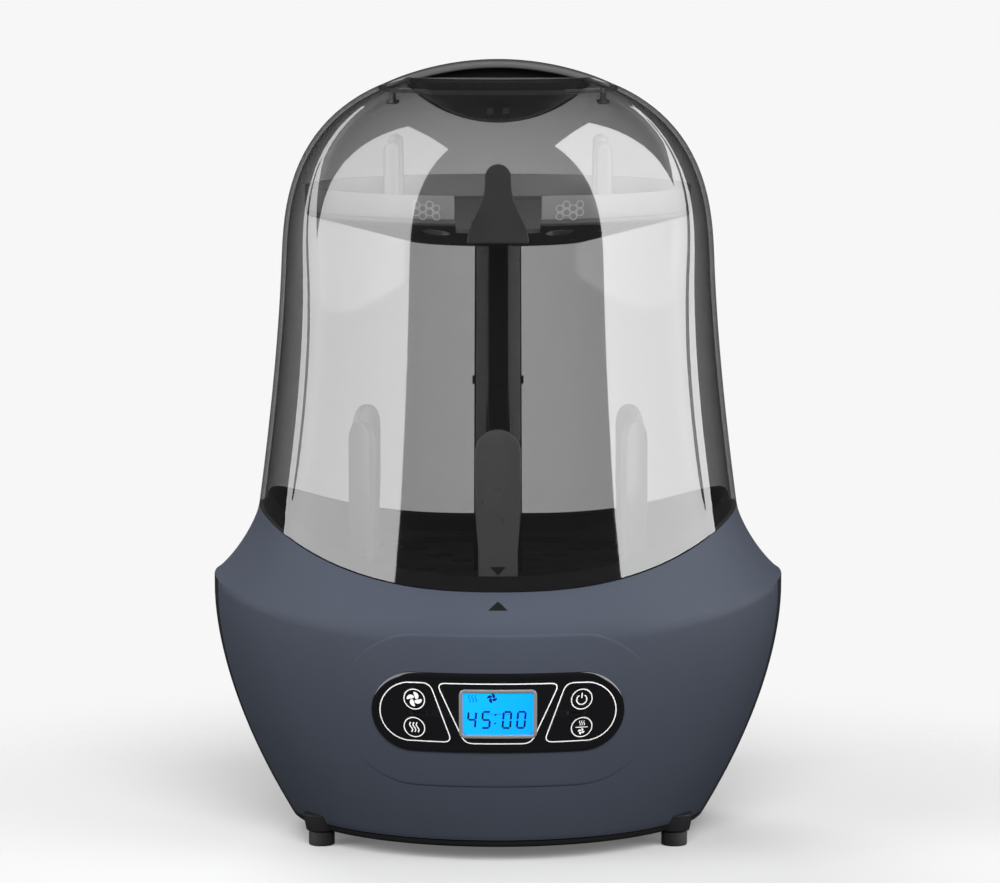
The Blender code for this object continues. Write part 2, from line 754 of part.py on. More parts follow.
def make_bottom_cover():
    top = FOOT_HEIGHT + COVER_THICKNESS
    cover = rod("bottom_cover", COVER_R, FOOT_HEIGHT, top, BLACK, steps=ROUND_STEPS)
    for i, (x, y) in enumerate(cover_screw_places()):
        cut(cover, screw_hole(f"cover_hole_{i + 1}", 0, 2 * FOOT_HEIGHT, x, y))
        ledge_top = FOOT_HEIGHT + COVER_THICKNESS + GAP + LEDGE_THICKNESS
        make_screw(f"bottom_screw_{i + 1}", x, y, FOOT_HEIGHT - GAP, ledge_top)
    for i, x in enumerate(spread(-COVER_VENT_REACH, COVER_VENT_REACH, COVER_VENT_COUNT)):
        low = (x - COVER_VENT_HALF, COVER_VENT_NEAR_Y, 0)
        high = (x + COVER_VENT_HALF, COVER_VENT_FAR_Y, 2 * FOOT_HEIGHT)
        cut(cover, block(f"cover_vent_{i + 1}", low, high, None))
    return cover


FOOT_CHAMFER = 0.0008


def make_feet():
    top = BOSS_BOTTOM_Z - GAP
    stem_top = BOSS_BOTTOM_Z + FOOT_STEM_LENGTH - GAP
    profile = [
        (0, stem_top),
        (FOOT_STEM_R, stem_top),
        (FOOT_STEM_R, top),
        (FOOT_R, top),
        (FOOT_R, FOOT_CHAMFER),
        (FOOT_R - FOOT_CHAMFER, 0),
        (0, 0),
    ]
    for i, (x, y) in enumerate(foot_places()):
        turned(f"foot_{i + 1}", profile, RUBBER, SMALL_STEPS, (x, y, 0))


# ---------------------------------------------------------------- the basin and the heater


COLLAR_DROP = 0.004   # the collar follows the dome down to this far below the seam
TRAY_ROOM = 0.003   # between the lower tray's rim and the wall round it
LEDGE_WALL = 0.0025


def basin_section(azimuth):
    seam_z = seam_point(azimuth)[1]
    top = seam_z + COLLAR_RISE
    fit = DOME_WALL + RUN_GAP

    def outer(z):
        return dome_radius(z) - fit - GAP

    floor_top = BASIN_FLOOR_Z + BASIN_FLOOR_WALL
    under_r = BASIN_LEDGE_R + COLLAR_WALL
    low = seam_z - COLLAR_DROP
    ledge_wall_r = TRAY_R + TRAY_ROOM
    return [
        (outer(top), top),
        (outer(low), low),
        (ledge_wall_r + COLLAR_WALL, BASIN_LEDGE_Z - LEDGE_WALL),
        (under_r, BASIN_LEDGE_Z - LEDGE_WALL - GAP),
        (under_r, BASIN_FLOOR_Z),
        (PLATE_OPENING_R, BASIN_FLOOR_Z),
        (PLATE_OPENING_R, floor_top),
        (BASIN_LEDGE_R, floor_top),
        (BASIN_LEDGE_R, BASIN_LEDGE_Z),
        (ledge_wall_r, BASIN_LEDGE_Z),
        (outer(low) - COLLAR_WALL, low + GAP),
        (outer(top) - COLLAR_WALL, top),
    ]


def make_basin():
    return lofted("water_basin", basin_section, BLACK)


PLATE_TOP_Z = BASIN_FLOOR_Z - 2 * GAP - SEAL_THICKNESS
PLATE_BOTTOM_Z = PLATE_TOP_Z - PLATE_THICKNESS
DUCT_TOP_Z = PLATE_BOTTOM_Z - 0.006
OUTLET_FLANGE = 0.006   # how far the outlet's flange and seal reach past its tube
FIT = 0.0005   # between a tube and the hole it stands in
THERMOSTAT_R = 0.008
THERMOSTAT_HEIGHT = 0.009
SENSOR_ROOM = 0.011   # from the air duct's side to a sensor's middle
FUSE_R = 0.0028
FUSE_HALF_LENGTH = 0.007


def make_heating():
    tube("heating_plate", PLATE_R, OUTLET_R + FIT, PLATE_BOTTOM_Z, PLATE_TOP_Z, STEEL, steps=32)
    seal_bottom = PLATE_TOP_Z + GAP
    seal_top = seal_bottom + SEAL_THICKNESS
    tube("plate_seal", PLATE_R, PLATE_OPENING_R + FIT, seal_bottom, seal_top, SILICONE, steps=32)
    tube("outlet_seal", OUTLET_R + OUTLET_FLANGE, OUTLET_R + FIT, seal_bottom, seal_top, SILICONE)
    element_z = PLATE_BOTTOM_Z - GAP - ELEMENT_TUBE_R
    circle = [
        (ELEMENT_RING_R + ELEMENT_TUBE_R * math.cos(t), element_z - ELEMENT_TUBE_R * math.sin(t))
        for t in [2 * math.pi * i / 8 for i in range(8)]
    ]
    turned("heating_element", circle, STEEL, 24)
    sensor_x = DUCT_R + SENSOR_ROOM
    bottom = PLATE_BOTTOM_Z - THERMOSTAT_HEIGHT
    rod("thermostat", THERMOSTAT_R, bottom, PLATE_BOTTOM_Z - GAP, BLACK, sensor_x, 0)
    fuse = rod("thermal_fuse", FUSE_R, -FUSE_HALF_LENGTH, FUSE_HALF_LENGTH, STEEL, steps=12)
    fuse.rotation_euler = (math.pi / 2, 0, 0)
    fuse.location = (-sensor_x, 0, PLATE_BOTTOM_Z - GAP - FUSE_R)


# ---------------------------------------------------------------- the air path


OUTLET_FLANGE_THICKNESS = 0.002


def make_air_outlet():
    flange_bottom = PLATE_TOP_Z + 2 * GAP + SEAL_THICKNESS
    flange_top = flange_bottom + OUTLET_FLANGE_THICKNESS
    flange_r = OUTLET_R + OUTLET_FLANGE
    bore = OUTLET_R - OUTLET_WALL
    profile = [
        (OUTLET_R, OUTLET_TOP_Z),
        (OUTLET_R, flange_top),
        (flange_r, flange_top),
        (flange_r, flange_bottom),
        (OUTLET_R, flange_bottom),
        (OUTLET_R, DUCT_TOP_Z + GAP),
        (bore, DUCT_TOP_Z + GAP),
        (bore, OUTLET_TOP_Z),
    ]
    turned("air_outlet", profile, BLACK, 28)


HEATER_SLOT_COUNT = 4
HEATER_SLOT_REACH = 0.0075
HEATER_SLOT_HALF = 0.0014
HEATER_RIM = 0.002


def make_air_duct():
    bottom = BLOWER_TOP_Z + GAP
    bore = DUCT_R - DUCT_WALL
    lip_bore = OUTLET_R - OUTLET_WALL
    profile = [
        (DUCT_R, DUCT_TOP_Z),
        (DUCT_R, bottom),
        (bore, bottom),
        (bore, DUCT_TOP_Z - DUCT_WALL),
        (lip_bore, DUCT_TOP_Z - DUCT_WALL),
        (lip_bore, DUCT_TOP_Z),
    ]
    turned("air_duct", profile, BLACK, 28)
    half = HEATER_SIZE / 2
    top = HEATER_BOTTOM_Z + HEATER_HEIGHT
    heater = block("air_heater", (-half, -half, HEATER_BOTTOM_Z), (half, half, top), STEEL)
    for i, x in enumerate(spread(-HEATER_SLOT_REACH, HEATER_SLOT_REACH, HEATER_SLOT_COUNT)):
        low = (x - HEATER_SLOT_HALF, -half + HEATER_RIM, HEATER_BOTTOM_Z - SLACK)
        high = (x + HEATER_SLOT_HALF, half - HEATER_RIM, top + SLACK)
        cut(heater, block(f"heater_slot_{i + 1}", low, high, None))


THROAT_ROOM = 0.002   # how far the blower's throat reaches past the duct over it
BLOWER_CUT = 0.005   # deeper than the blower's walls
EXIT_MARGIN = 0.001
MOTOR_HOLE_R = 0.006
SHAFT_TOP_Z = 0.050
SHAFT_SHORT = 0.002   # the shaft starts this far above the motor's bottom
DISC_ROOM = 0.0025
DISC_THICKNESS = 0.0015
HUB_R = 0.006
HUB_HEIGHT = 0.0105
SINK = 0.001   # how far joined solids reach into one another
BLADE_INNER_R = 0.018
BLADE_HALF = 0.0005
BLADE_TOP = 0.015


def make_blower():
    housing = rod("blower_housing", BLOWER_R, BLOWER_BOTTOM_Z, BLOWER_TOP_Z, BLACK, 0, BLOWER_Y, 36)
    throat_y = -DUCT_R - THROAT_ROOM
    low = (-DUCT_R, throat_y, BLOWER_BOTTOM_Z)
    join(housing, block("blower_throat", low, (DUCT_R, BLOWER_Y, BLOWER_TOP_Z), None))
    low = BLOWER_BOTTOM_Z + BLOWER_WALL
    high = BLOWER_TOP_Z - BLOWER_WALL
    inner = DUCT_R - BLOWER_WALL
    cut(
        housing,
        rod("blower_chamber", BLOWER_R - BLOWER_WALL, low, high, None, 0, BLOWER_Y, 36),
        block("throat_chamber", (-inner, throat_y + BLOWER_WALL, low), (inner, BLOWER_Y, high), None),
        rod("blower_exit", DUCT_R - DUCT_WALL - EXIT_MARGIN, high - BLOWER_CUT, high + SLACK, None, 0, 0, 28),
        rod("blower_intake", INTAKE_R, high - BLOWER_CUT, high + SLACK, None, 0, BLOWER_Y, 28),
        rod("motor_hole", MOTOR_HOLE_R, low - SLACK, low + BLOWER_CUT, None, 0, BLOWER_Y),
    )
    motor_top = BLOWER_BOTTOM_Z - GAP
    tube("blower_motor", MOTOR_R, SHAFT_R + GAP, MOTOR_BOTTOM_Z, motor_top, STEEL, 0, BLOWER_Y, 28)
    rod("blower_shaft", SHAFT_R, MOTOR_BOTTOM_Z + SHAFT_SHORT, SHAFT_TOP_Z, STEEL, 0, BLOWER_Y, 12)
    disc_bottom = low + DISC_ROOM
    bore = SHAFT_R + GAP
    disc_top = disc_bottom + DISC_THICKNESS
    wheel = tube("blower_wheel", IMPELLER_R, bore, disc_bottom, disc_top, BLACK, 0, BLOWER_Y, 36)
    join(wheel, tube("wheel_hub", HUB_R, bore, disc_top - SINK, disc_top + HUB_HEIGHT, None, 0, BLOWER_Y))
    for i in range(IMPELLER_BLADES):
        angle = 2 * math.pi * i / IMPELLER_BLADES
        low = (BLADE_INNER_R, -BLADE_HALF, disc_bottom + DISC_THICKNESS / 2)
        high = (IMPELLER_R - BLADE_HALF, BLADE_HALF, disc_bottom + BLADE_TOP)
        blade = block(f"wheel_blade_{i + 1}", low, high, None)
        blade.location = (0, BLOWER_Y, 0)
        blade.rotation_euler = (0, 0, angle)
        join(wheel, blade)


DRAWER_SHELL_BACK = 0.004   # the tray's cuts are laid out from this far inside the bowl's bottom line
DRAWER_FIT = 0.0006
FACE_SINK = 0.0035   # how far the tray reaches into the curved face
FACE_SKIN = 0.003
WINDOW_SIDE = 0.006
WINDOW_SILL = 0.005
WINDOW_HEAD = 0.004
GRILLE_COUNT = 6
GRILLE_REACH = 0.020
GRILLE_HALF = 0.0016
WALL_CUT = 0.01   # deeper than any wall here
SLEEVE_SHORT = 0.006


def make_filter_drawer():
    top = DRAWER_BOTTOM_Z + DRAWER_HEIGHT
    face = lofted("filter_drawer", lambda a: skin_section(a, 0, BASE_WALL), BLACK)
    outline = rectangle(DRAWER_HALF_WIDTH, DRAWER_BOTTOM_Z, top)
    keep_inside(face, prism("drawer_face", outline, SHELL_CUT_Y, REACH, None))
    back = bowl_radius(DRAWER_BOTTOM_Z) * PLAN_RATIO - DRAWER_SHELL_BACK
    front = back - DRAWER_DEPTH
    half = DRAWER_HALF_WIDTH - DRAWER_FIT
    low = DRAWER_BOTTOM_Z + DRAWER_FIT
    tray = block("drawer_tray", (-half, front, low), (half, back + FACE_SINK, top - DRAWER_FIT), None)
    inner = half - DRAWER_WALL
    floor = low + DRAWER_WALL
    low = (-inner, front + DRAWER_WALL, floor)
    hollow = block("drawer_hollow", low, (inner, back - FACE_SKIN, top + SLACK), None)
    window = rectangle(half - WINDOW_SIDE, DRAWER_BOTTOM_Z + WINDOW_SILL, top - WINDOW_HEAD)
    join(face, tray)
    cut(face, hollow, prism("drawer_window", window, front - SLACK, front + WALL_CUT, None))
    for i, x in enumerate(spread(-GRILLE_REACH, GRILLE_REACH, GRILLE_COUNT)):
        slot = rectangle(GRILLE_HALF, DRAWER_BOTTOM_Z + WINDOW_SILL, top - WINDOW_SILL, x)
        cut(face, prism(f"grille_slot_{i + 1}", slot, back - WALL_CUT, REACH, None))
    side = inner - GAP
    near = (front + back - FILTER_THICKNESS) / 2
    block("air_filter", (-side, near, floor + GAP), (side, near + FILTER_THICKNESS, top - 2 * GAP), PAPER)
    # The sleeve that the drawer slides in, fixed to the housing.
    out = DRAWER_HALF_WIDTH + SLEEVE_WALL
    sleeve_y = front - SLEEVE_BACK_ROOM
    low = (-out, sleeve_y, DRAWER_BOTTOM_Z - SLEEVE_WALL)
    sleeve = block("filter_sleeve", low, (out, back - SLEEVE_SHORT, top + SLEEVE_WALL), BLACK)
    wide = DRAWER_HALF_WIDTH + RUN_GAP
    low = (-wide, sleeve_y + SLEEVE_WALL, DRAWER_BOTTOM_Z - RUN_GAP)
    cut(sleeve, block("sleeve_bore", low, (wide, REACH, top + RUN_GAP), None))
    window = rectangle(inner - WINDOW_SIDE, DRAWER_BOTTOM_Z + WINDOW_HEAD, top - WINDOW_HEAD)
    cut(sleeve, prism("sleeve_window", window, sleeve_y - SLACK, sleeve_y + WALL_CUT, None))


# ---------------------------------------------------------------- the electrics

GLAND_R = 0.006
GLAND_BORE = 0.0032
GLAND_AZIMUTH = math.radians(152)
GLAND_Z = 0.034
GLAND_DROOP = 0.25   # how far its outward line falls, per unit of reach
GLAND_OUT = 0.005
GLAND_NECK = 0.0085
GLAND_DEPTH = 0.012
GLAND_FLANGE = 0.003
MAIN_BOARD_Z = 0.022
MAIN_BOARD_HALF_WIDTH = 0.046
MAIN_BOARD_FRONT_Y = -0.082
MAIN_BOARD_BACK_Y = -0.030
BOARD_PARTS = (   # name, nearest corner, farthest corner, height
    ("transformer", (-0.040, -0.070), (-0.014, -0.044), 0.020),
    ("relay", (-0.006, -0.076), (0.010, -0.060), 0.016),
    ("capacitor", (0.018, -0.070), (0.034, -0.054), 0.022),
    ("terminal_strip", (0.000, -0.044), (0.036, -0.035), 0.012),
)


def gland_matrix():
    """A frame on the housing's back whose Z axis points straight out of it."""
    radius = bowl_radius(GLAND_Z) * plan_factor(GLAND_AZIMUTH)
    place = Vector((radius * math.sin(GLAND_AZIMUTH), -radius * math.cos(GLAND_AZIMUTH), GLAND_Z))
    outward = Vector((math.sin(GLAND_AZIMUTH), -math.cos(GLAND_AZIMUTH), -GLAND_DROOP))
    return Matrix.Translation(place) @ outward.to_track_quat("Z", "Y").to_matrix().to_4x4()


def make_electrics():
    flange_r = GLAND_R + GLAND_FLANGE
    profile = [
        (GLAND_R, GLAND_OUT),
        (GLAND_R, -GLAND_NECK),
        (flange_r, -GLAND_NECK),
        (flange_r, -GLAND_DEPTH),
        (GLAND_BORE, -GLAND_DEPTH),
        (GLAND_BORE, GLAND_OUT),
    ]
    gland = turned("cord_gland", profile, RUBBER)
    gland.matrix_world = gland_matrix()
    low = (-MAIN_BOARD_HALF_WIDTH, MAIN_BOARD_FRONT_Y, MAIN_BOARD_Z)
    high = (MAIN_BOARD_HALF_WIDTH, MAIN_BOARD_BACK_Y, MAIN_BOARD_Z + BOARD_THICKNESS)
    board = block("main_board", low, high, GREEN)
    inside = MAIN_BOARD_Z + BOARD_THICKNESS / 2
    for name, (x0, y0), (x1, y1), height in BOARD_PARTS:
        join(board, block(name, (x0, y0, inside), (x1, y1, MAIN_BOARD_Z + height), None))


# ---------------------------------------------------------------- the control panel


NEAR = 0.001   # distance at which a curved face's slope is taken


def panel_slope():
    """How far the base's front leans outward at the panel, as an angle."""
    rise = front_y(0, PANEL_Z - NEAR) - front_y(0, PANEL_Z + NEAR)
    return math.atan2(rise, 2 * NEAR)


def panel_matrix():
    """The panel's middle, with local -Y straight out of the front and Z up along it."""
    place = Matrix.Translation((0, front_y(0, PANEL_Z), PANEL_Z))
    return place @ Matrix.Rotation(panel_slope(), 4, "X")


def button_matrix(x, z):
    """A button's place on the front, with its Z axis pointing straight out."""
    place = Vector((x, front_y(x, z), z))
    across = Vector((2 * NEAR, front_y(x + NEAR, z) - front_y(x - NEAR, z), 0))
    up = Vector((0, front_y(x, z + NEAR) - front_y(x, z - NEAR), 2 * NEAR))
    outward = across.cross(up).normalized()
    return Matrix.Translation(place) @ outward.to_track_quat("Z", "Y").to_matrix().to_4x4()


BUTTONS = {
    "fan_button": (-BUTTON_X, BUTTON_HALF_PITCH),
    "steam_button": (-BUTTON_X, -BUTTON_HALF_PITCH),
    "power_button": (BUTTON_X, BUTTON_HALF_PITCH),
    "steam_dry_button": (BUTTON_X, -BUTTON_HALF_PITCH),
}


WINDOW_THICKNESS = 0.0016
KEY_CHAMFER = 0.0005
BOARD_SIDE_ROOM = 0.0095   # display board past the keys' middles
BOARD_EDGE_ROOM = 0.00275
MODULE_RIM = 0.001


def make_panel():
    bezel = lofted("control_bezel", lambda a: skin_section(a, PANEL_PROUD, PANEL_DEPTH), PANEL)
    outline = stadium(0, PANEL_Z, PANEL_LENGTH, PANEL_HEIGHT)
    keep_inside(bezel, prism("panel_outline", outline, -REACH, -SHELL_CUT_Y, None))
    half_w, half_h = SCREEN_WIDTH / 2, SCREEN_HEIGHT / 2
    hole = rectangle(half_w + GAP, PANEL_Z - half_h - GAP, PANEL_Z + half_h + GAP)
    cut(bezel, prism("screen_hole", hole, -REACH, -SHELL_CUT_Y, None))
    window = lofted("screen_window", lambda a: skin_section(a, PANEL_PROUD / 2, WINDOW_THICKNESS), SCREEN)
    outline = rectangle(half_w, PANEL_Z - half_h, PANEL_Z + half_h)
    keep_inside(window, prism("screen_outline", outline, -REACH, -SHELL_CUT_Y, None))
    for name, (x, dz) in BUTTONS.items():
        place = button_matrix(x, PANEL_Z + dz)
        hole = rod(name + "_hole", BUTTON_R + GAP, -SLACK, SLACK, None)
        hole.matrix_world = place
        cut(bezel, hole)
        low = BUTTON_PROUD - BUTTON_LENGTH
        profile = [
            (0, BUTTON_PROUD),
            (BUTTON_R - KEY_CHAMFER, BUTTON_PROUD),
            (BUTTON_R, BUTTON_PROUD - KEY_CHAMFER),
            (BUTTON_R, low),
            (0, low),
        ]
        button = turned(name, profile, PANEL)
        button.matrix_world = place
    frame = panel_matrix()
    board_y = DISPLAY_BOARD_BACK
    board_w, board_h = BUTTON_X + BOARD_SIDE_ROOM, PANEL_HEIGHT / 2 - BOARD_EDGE_ROOM
    low = (-board_w, board_y, -board_h)
    board = block("display_board", low, (board_w, board_y + BOARD_THICKNESS, board_h), GREEN)
    board.matrix_world = frame
    module_w, module_h = half_w + MODULE_RIM, half_h + MODULE_RIM
    falls_back = front_y(module_w, PANEL_Z) - front_y(0, PANEL_Z)
    module_y = PANEL_DEPTH + falls_back + 2 * RUN_GAP
    low = (-module_w, module_y, -module_h)
    module = block("screen_module", low, (module_w, board_y - GAP, module_h), STEEL)
    module.matrix_world = frame


# ---------------------------------------------------------------- the lower rack


DRAIN_SHARES = (0.34, 0.56, 0.83)   # rings of drain holes, as shares of the tray's radius
DRAIN_R = 0.006
DRAIN_R_STEP = 0.002
POST_TAPER = 0.01   # half the height over which a post widens


def make_lower_rack():
    floor_top = TRAY_FLOOR_Z + TRAY_FLOOR_WALL
    foot_z = BASIN_LEDGE_Z + GAP
    rim_in = TRAY_R - TRAY_RIM_WALL
    seat_r = TOWER_R - TOWER_WALL
    profile = [
        (TRAY_R, TRAY_RIM_TOP_Z),
        (TRAY_R, foot_z),
        (rim_in, foot_z),
        (rim_in, TRAY_FLOOR_Z),
        (seat_r, TRAY_FLOOR_Z),
        (seat_r, floor_top),
        (rim_in, floor_top),
        (rim_in, TRAY_RIM_TOP_Z),
    ]
    tray = turned("lower_rack_tray", profile, BLACK, ROUND_STEPS)
    for i in range(POST_COUNT):
        middle = 2 * math.pi * (i + 0.5) / POST_COUNT
        for j, share in enumerate(DRAIN_SHARES):
            x, y = share * TRAY_R * math.sin(middle), -share * TRAY_R * math.cos(middle)
            name = f"drain_{i + 1}_{j + 1}"
            hole_r = DRAIN_R + DRAIN_R_STEP * j
            cut(tray, rod(name, hole_r, TRAY_FLOOR_Z - SLACK, floor_top + SLACK, None, x, y, 12))
    spigot_r = seat_r - GAP
    bore = TOWER_R - 2 * TOWER_WALL
    spigot_bottom = TRAY_FLOOR_Z + GAP
    tower = [
        (bore + TOWER_WALL, TOWER_TOP_Z + SPIGOT_LENGTH),
        (bore + TOWER_WALL, TOWER_TOP_Z),
        (TOWER_R, TOWER_TOP_Z),
        (TOWER_R, floor_top + GAP),
        (spigot_r, floor_top + GAP),
        (spigot_r, spigot_bottom),
        (bore, spigot_bottom),
        (bore, TOWER_TOP_Z + SPIGOT_LENGTH),
    ]
    turned("air_tower", tower, BLACK, 16)
    for i in range(POST_COUNT):
        azimuth = 2 * math.pi * i / POST_COUNT
        post = make_post(f"bottle_post_{i + 1}", floor_top + GAP)
        post.matrix_world = ring_matrix(POST_CIRCLE_R, azimuth)


def ring_matrix(radius, azimuth):
    """A place on a circle about the middle, with local -Y pointing outward."""
    place = Matrix.Translation((radius * math.sin(azimuth), -radius * math.cos(azimuth), 0))
    return place @ Matrix.Rotation(azimuth, 4, "Z")


def make_post(name, bottom):
    """An upright paddle with a round top, which a bottle is set over, on a wider foot."""
    half, neck = POST_WIDTH / 2, POST_NECK_WIDTH / 2
    arc_z = POST_TOP_Z - half
    round_top = [(half * math.cos(t), arc_z + half * math.sin(t)) for t in spread(0, math.pi, 11)]
    outline = [
        (-neck, bottom),
        (neck, bottom),
        (neck, POST_NECK_Z - POST_TAPER),
        (half, POST_NECK_Z + POST_TAPER),
        *round_top,
        (-half, POST_NECK_Z + POST_TAPER),
        (-neck, POST_NECK_Z - POST_TAPER),
    ]
    return prism(name, outline, -POST_THICKNESS / 2, POST_THICKNESS / 2, TINTED)


# ---------------------------------------------------------------- the upper rack


SEAT_ROOM = 0.004   # the rack's socket over the tower's spigot
PEG_SINK = 0.0028   # a peg's foot stands this far above the sloping floor's middle line
PEG_TAPER = 0.0005
BELL_POWER = 1.4   # how late the tongue widens


def make_upper_rack():
    floor = TOWER_TOP_Z + GAP
    ring_in = RACK_R - RACK_RING_WALL
    seat_r = TOWER_R - TOWER_WALL + GAP
    wall = RACK_FLOOR_WALL
    profile = [
        (RACK_R, RACK_RING_TOP_Z),
        (RACK_R, RACK_RING_BOTTOM_Z),
        (RACK_DISH_R, floor),
        (seat_r, floor),
        (seat_r, floor + SPIGOT_LENGTH + SEAT_ROOM),
        (seat_r + wall, floor + SPIGOT_LENGTH + SEAT_ROOM),
        (seat_r + wall, floor + wall),
        (RACK_DISH_R, floor + wall),
        (ring_in, RACK_RING_BOTTOM_Z + wall),
        (ring_in, RACK_RING_TOP_Z),
    ]
    rack = turned("upper_rack_tray", profile, TINTED, ROUND_STEPS)
    low = (-RACK_GAP_HALF, -REACH, RACK_RING_BOTTOM_Z - SLACK)
    high = (RACK_GAP_HALF, TONGUE_Y + RACK_GAP_DEPTH, RACK_RING_TOP_Z + SLACK)
    cut(rack, block("rack_front_gap", low, high, None))
    circle_r = RACK_R - RACK_HOLE_INSET
    for i in range(RACK_HOLE_COUNT):
        azimuth = 2 * math.pi * (i + 0.5) / RACK_HOLE_COUNT
        x, y = circle_r * math.sin(azimuth), -circle_r * math.cos(azimuth)
        cut(rack, rod(f"rack_hole_{i + 1}", RACK_HOLE_R, floor, RACK_RING_TOP_Z, None, x, y, 12))
    for i, degrees in enumerate(PEG_AZIMUTHS):
        azimuth = math.radians(degrees)
        x, y = PEG_CIRCLE_R * math.sin(azimuth), -PEG_CIRCLE_R * math.cos(azimuth)
        base_z = dish_top(PEG_CIRCLE_R) + PEG_SINK
        dome = [(PEG_R * math.sin(t), PEG_TOP_Z - PEG_R + PEG_R * math.cos(t)) for t in quarter_turn(5)]
        dome[0] = (0, PEG_TOP_Z)
        profile = [*dome, (PEG_R + PEG_TAPER, base_z), (0, base_z)]
        turned(f"nipple_peg_{i + 1}", profile, TINTED, 14, (x, y, 0))
    make_tongue()


def dish_top(radius):
    """The height of the upper rack's sloping floor at a radius."""
    share = (radius - RACK_DISH_R) / (RACK_R - RACK_RING_WALL - RACK_DISH_R)
    low = TOWER_TOP_Z + GAP + RACK_FLOOR_WALL
    return low + share * (RACK_RING_BOTTOM_Z + RACK_FLOOR_WALL - low)


def make_tongue():
    """The bell-shaped holder that closes the upper rack's front gap."""
    half, neck = TONGUE_FLARE / 2, TONGUE_NECK / 2
    top_z = TONGUE_TOP_Z - neck
    side = []
    for v in spread(0, 1, 8):
        width = neck + (half - neck) * (0.5 - 0.5 * math.cos(math.pi * v)) ** BELL_POWER
        side.append((width, top_z + (TONGUE_BOTTOM_Z - top_z) * v))
    crown = [(neck * math.cos(t), top_z + neck * math.sin(t)) for t in spread(0, math.pi, 9)]
    left = [(-x, z) for x, z in reversed(side)]
    outline = side[::-1] + crown[1:-1] + left[::-1]
    half_thickness = TONGUE_THICKNESS / 2
    return prism("soother_holder", outline, TONGUE_Y - half_thickness, TONGUE_Y + half_thickness, TINTED)


# ---------------------------------------------------------------- assembly

make_dome()
make_vent_cup()
make_handle()
make_front_shell()
make_rear_housing()
make_bottom_cover()
make_feet()
make_basin()
make_heating()
make_air_outlet()
make_air_duct()
make_blower()
make_filter_drawer()
make_electrics()
make_panel()
make_lower_rack()
make_upper_rack()
bpy.context.view_layer.update()
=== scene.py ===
"""The looks of a bottle sterilizer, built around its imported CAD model.

Metres, +Z up, the front faces -Y, the origin on the floor under the middle of the base.
Fine pieces stand for the CAD's visible shells and ride on the same bodies.
"""

import math

import bmesh
import bpy
from mathutils import Matrix, Vector


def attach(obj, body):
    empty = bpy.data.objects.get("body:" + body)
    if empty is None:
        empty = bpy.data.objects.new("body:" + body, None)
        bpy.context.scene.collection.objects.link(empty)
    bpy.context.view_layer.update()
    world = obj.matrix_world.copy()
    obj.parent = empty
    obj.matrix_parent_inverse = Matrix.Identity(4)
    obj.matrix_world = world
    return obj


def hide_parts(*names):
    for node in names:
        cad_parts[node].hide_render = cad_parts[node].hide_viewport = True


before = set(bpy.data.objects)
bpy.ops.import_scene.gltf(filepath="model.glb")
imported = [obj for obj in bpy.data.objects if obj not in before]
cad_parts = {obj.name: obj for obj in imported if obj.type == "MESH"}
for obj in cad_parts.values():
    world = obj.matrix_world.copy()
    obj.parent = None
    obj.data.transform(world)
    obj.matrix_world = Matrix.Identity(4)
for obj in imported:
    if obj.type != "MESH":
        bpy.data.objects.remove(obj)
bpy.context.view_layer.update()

# ---------------------------------------------------------------- sizes, as in the CAD

FOOT_HEIGHT = 0.008
BOWL_TOP_R = 0.147
BOWL_BOTTOM_R = 0.1065
BOWL_TOP_Z = 0.126
BOWL_CURVE = 1.75
PLAN_RATIO = 0.965
BASE_WALL = 0.0026
SHOULDER_FRONT_Z = 0.118
SHOULDER_RISE = 0.0156
SEAM_FRONT_Z = 0.1407
SEAM_RISE = 0.0285
SADDLE_POWER = 2.7
APRON_PLANE_Y = -0.030
LIP_TOP_Z = 0.0117

DOME_WALL = 0.0024
DOME_BARREL_R = 0.1106
DOME_FLARE = 0.017
DOME_FLARE_TOP_Z = 0.310
DOME_CROWN_Z = 0.295
DOME_APEX_Z = 0.3946
DOME_CROWN_POWER = 2.5
DOME_OPENING_R = 0.062

WELL_R = 0.048
WELL_BOTTOM_Z = 0.368
WELL_WALL = 0.0022
HANDLE_TOP_Z = 0.3985
HANDLE_THICKNESS = 0.0036
HANDLE_HALF_LENGTH = 0.058
HANDLE_HALF_WIDTH = 0.017

TRAY_R = 0.111
COLLAR_RISE = 0.007
COLLAR_WALL = 0.0025
BASIN_FLOOR_Z = 0.112
BASIN_LEDGE_R = 0.104
BASIN_LEDGE_Z = 0.1267
PLATE_OPENING_R = 0.070

TOWER_R = 0.0135
TOWER_BOTTOM_Z = 0.1343
TOWER_TOP_Z = 0.305
POST_COUNT = 6
POST_CIRCLE_R = 0.080
RACK_R = 0.0994
RACK_RING_BOTTOM_Z = 0.319
RACK_RING_TOP_Z = 0.334
RACK_DISH_R = 0.046
RACK_GAP_HALF = 0.021
PEG_R = 0.004
PEG_CIRCLE_R = 0.070
PEG_AZIMUTHS = (50, 130, 230, 310)
PEG_TOP_Z = 0.358
TONGUE_Y = -0.086
TONGUE_BOTTOM_Z = 0.3095
TONGUE_TOP_Z = 0.349

PANEL_Z = 0.0815
PANEL_LENGTH = 0.125
PANEL_HEIGHT = 0.0415
PANEL_PROUD = 0.0012
SCREEN_WIDTH = 0.0375
SCREEN_HEIGHT = 0.0248
BUTTON_R = 0.0058
BUTTON_X = 0.0407
BUTTON_HALF_PITCH = 0.0073
BUTTON_PROUD = 0.0020
DRAWER_HALF_WIDTH = 0.030
DRAWER_BOTTOM_Z = 0.060
DRAWER_HEIGHT = 0.022
FOOT_X = 0.090
FOOT_Y = 0.055
FOOT_R = 0.0066

# ---------------------------------------------------------------- materials

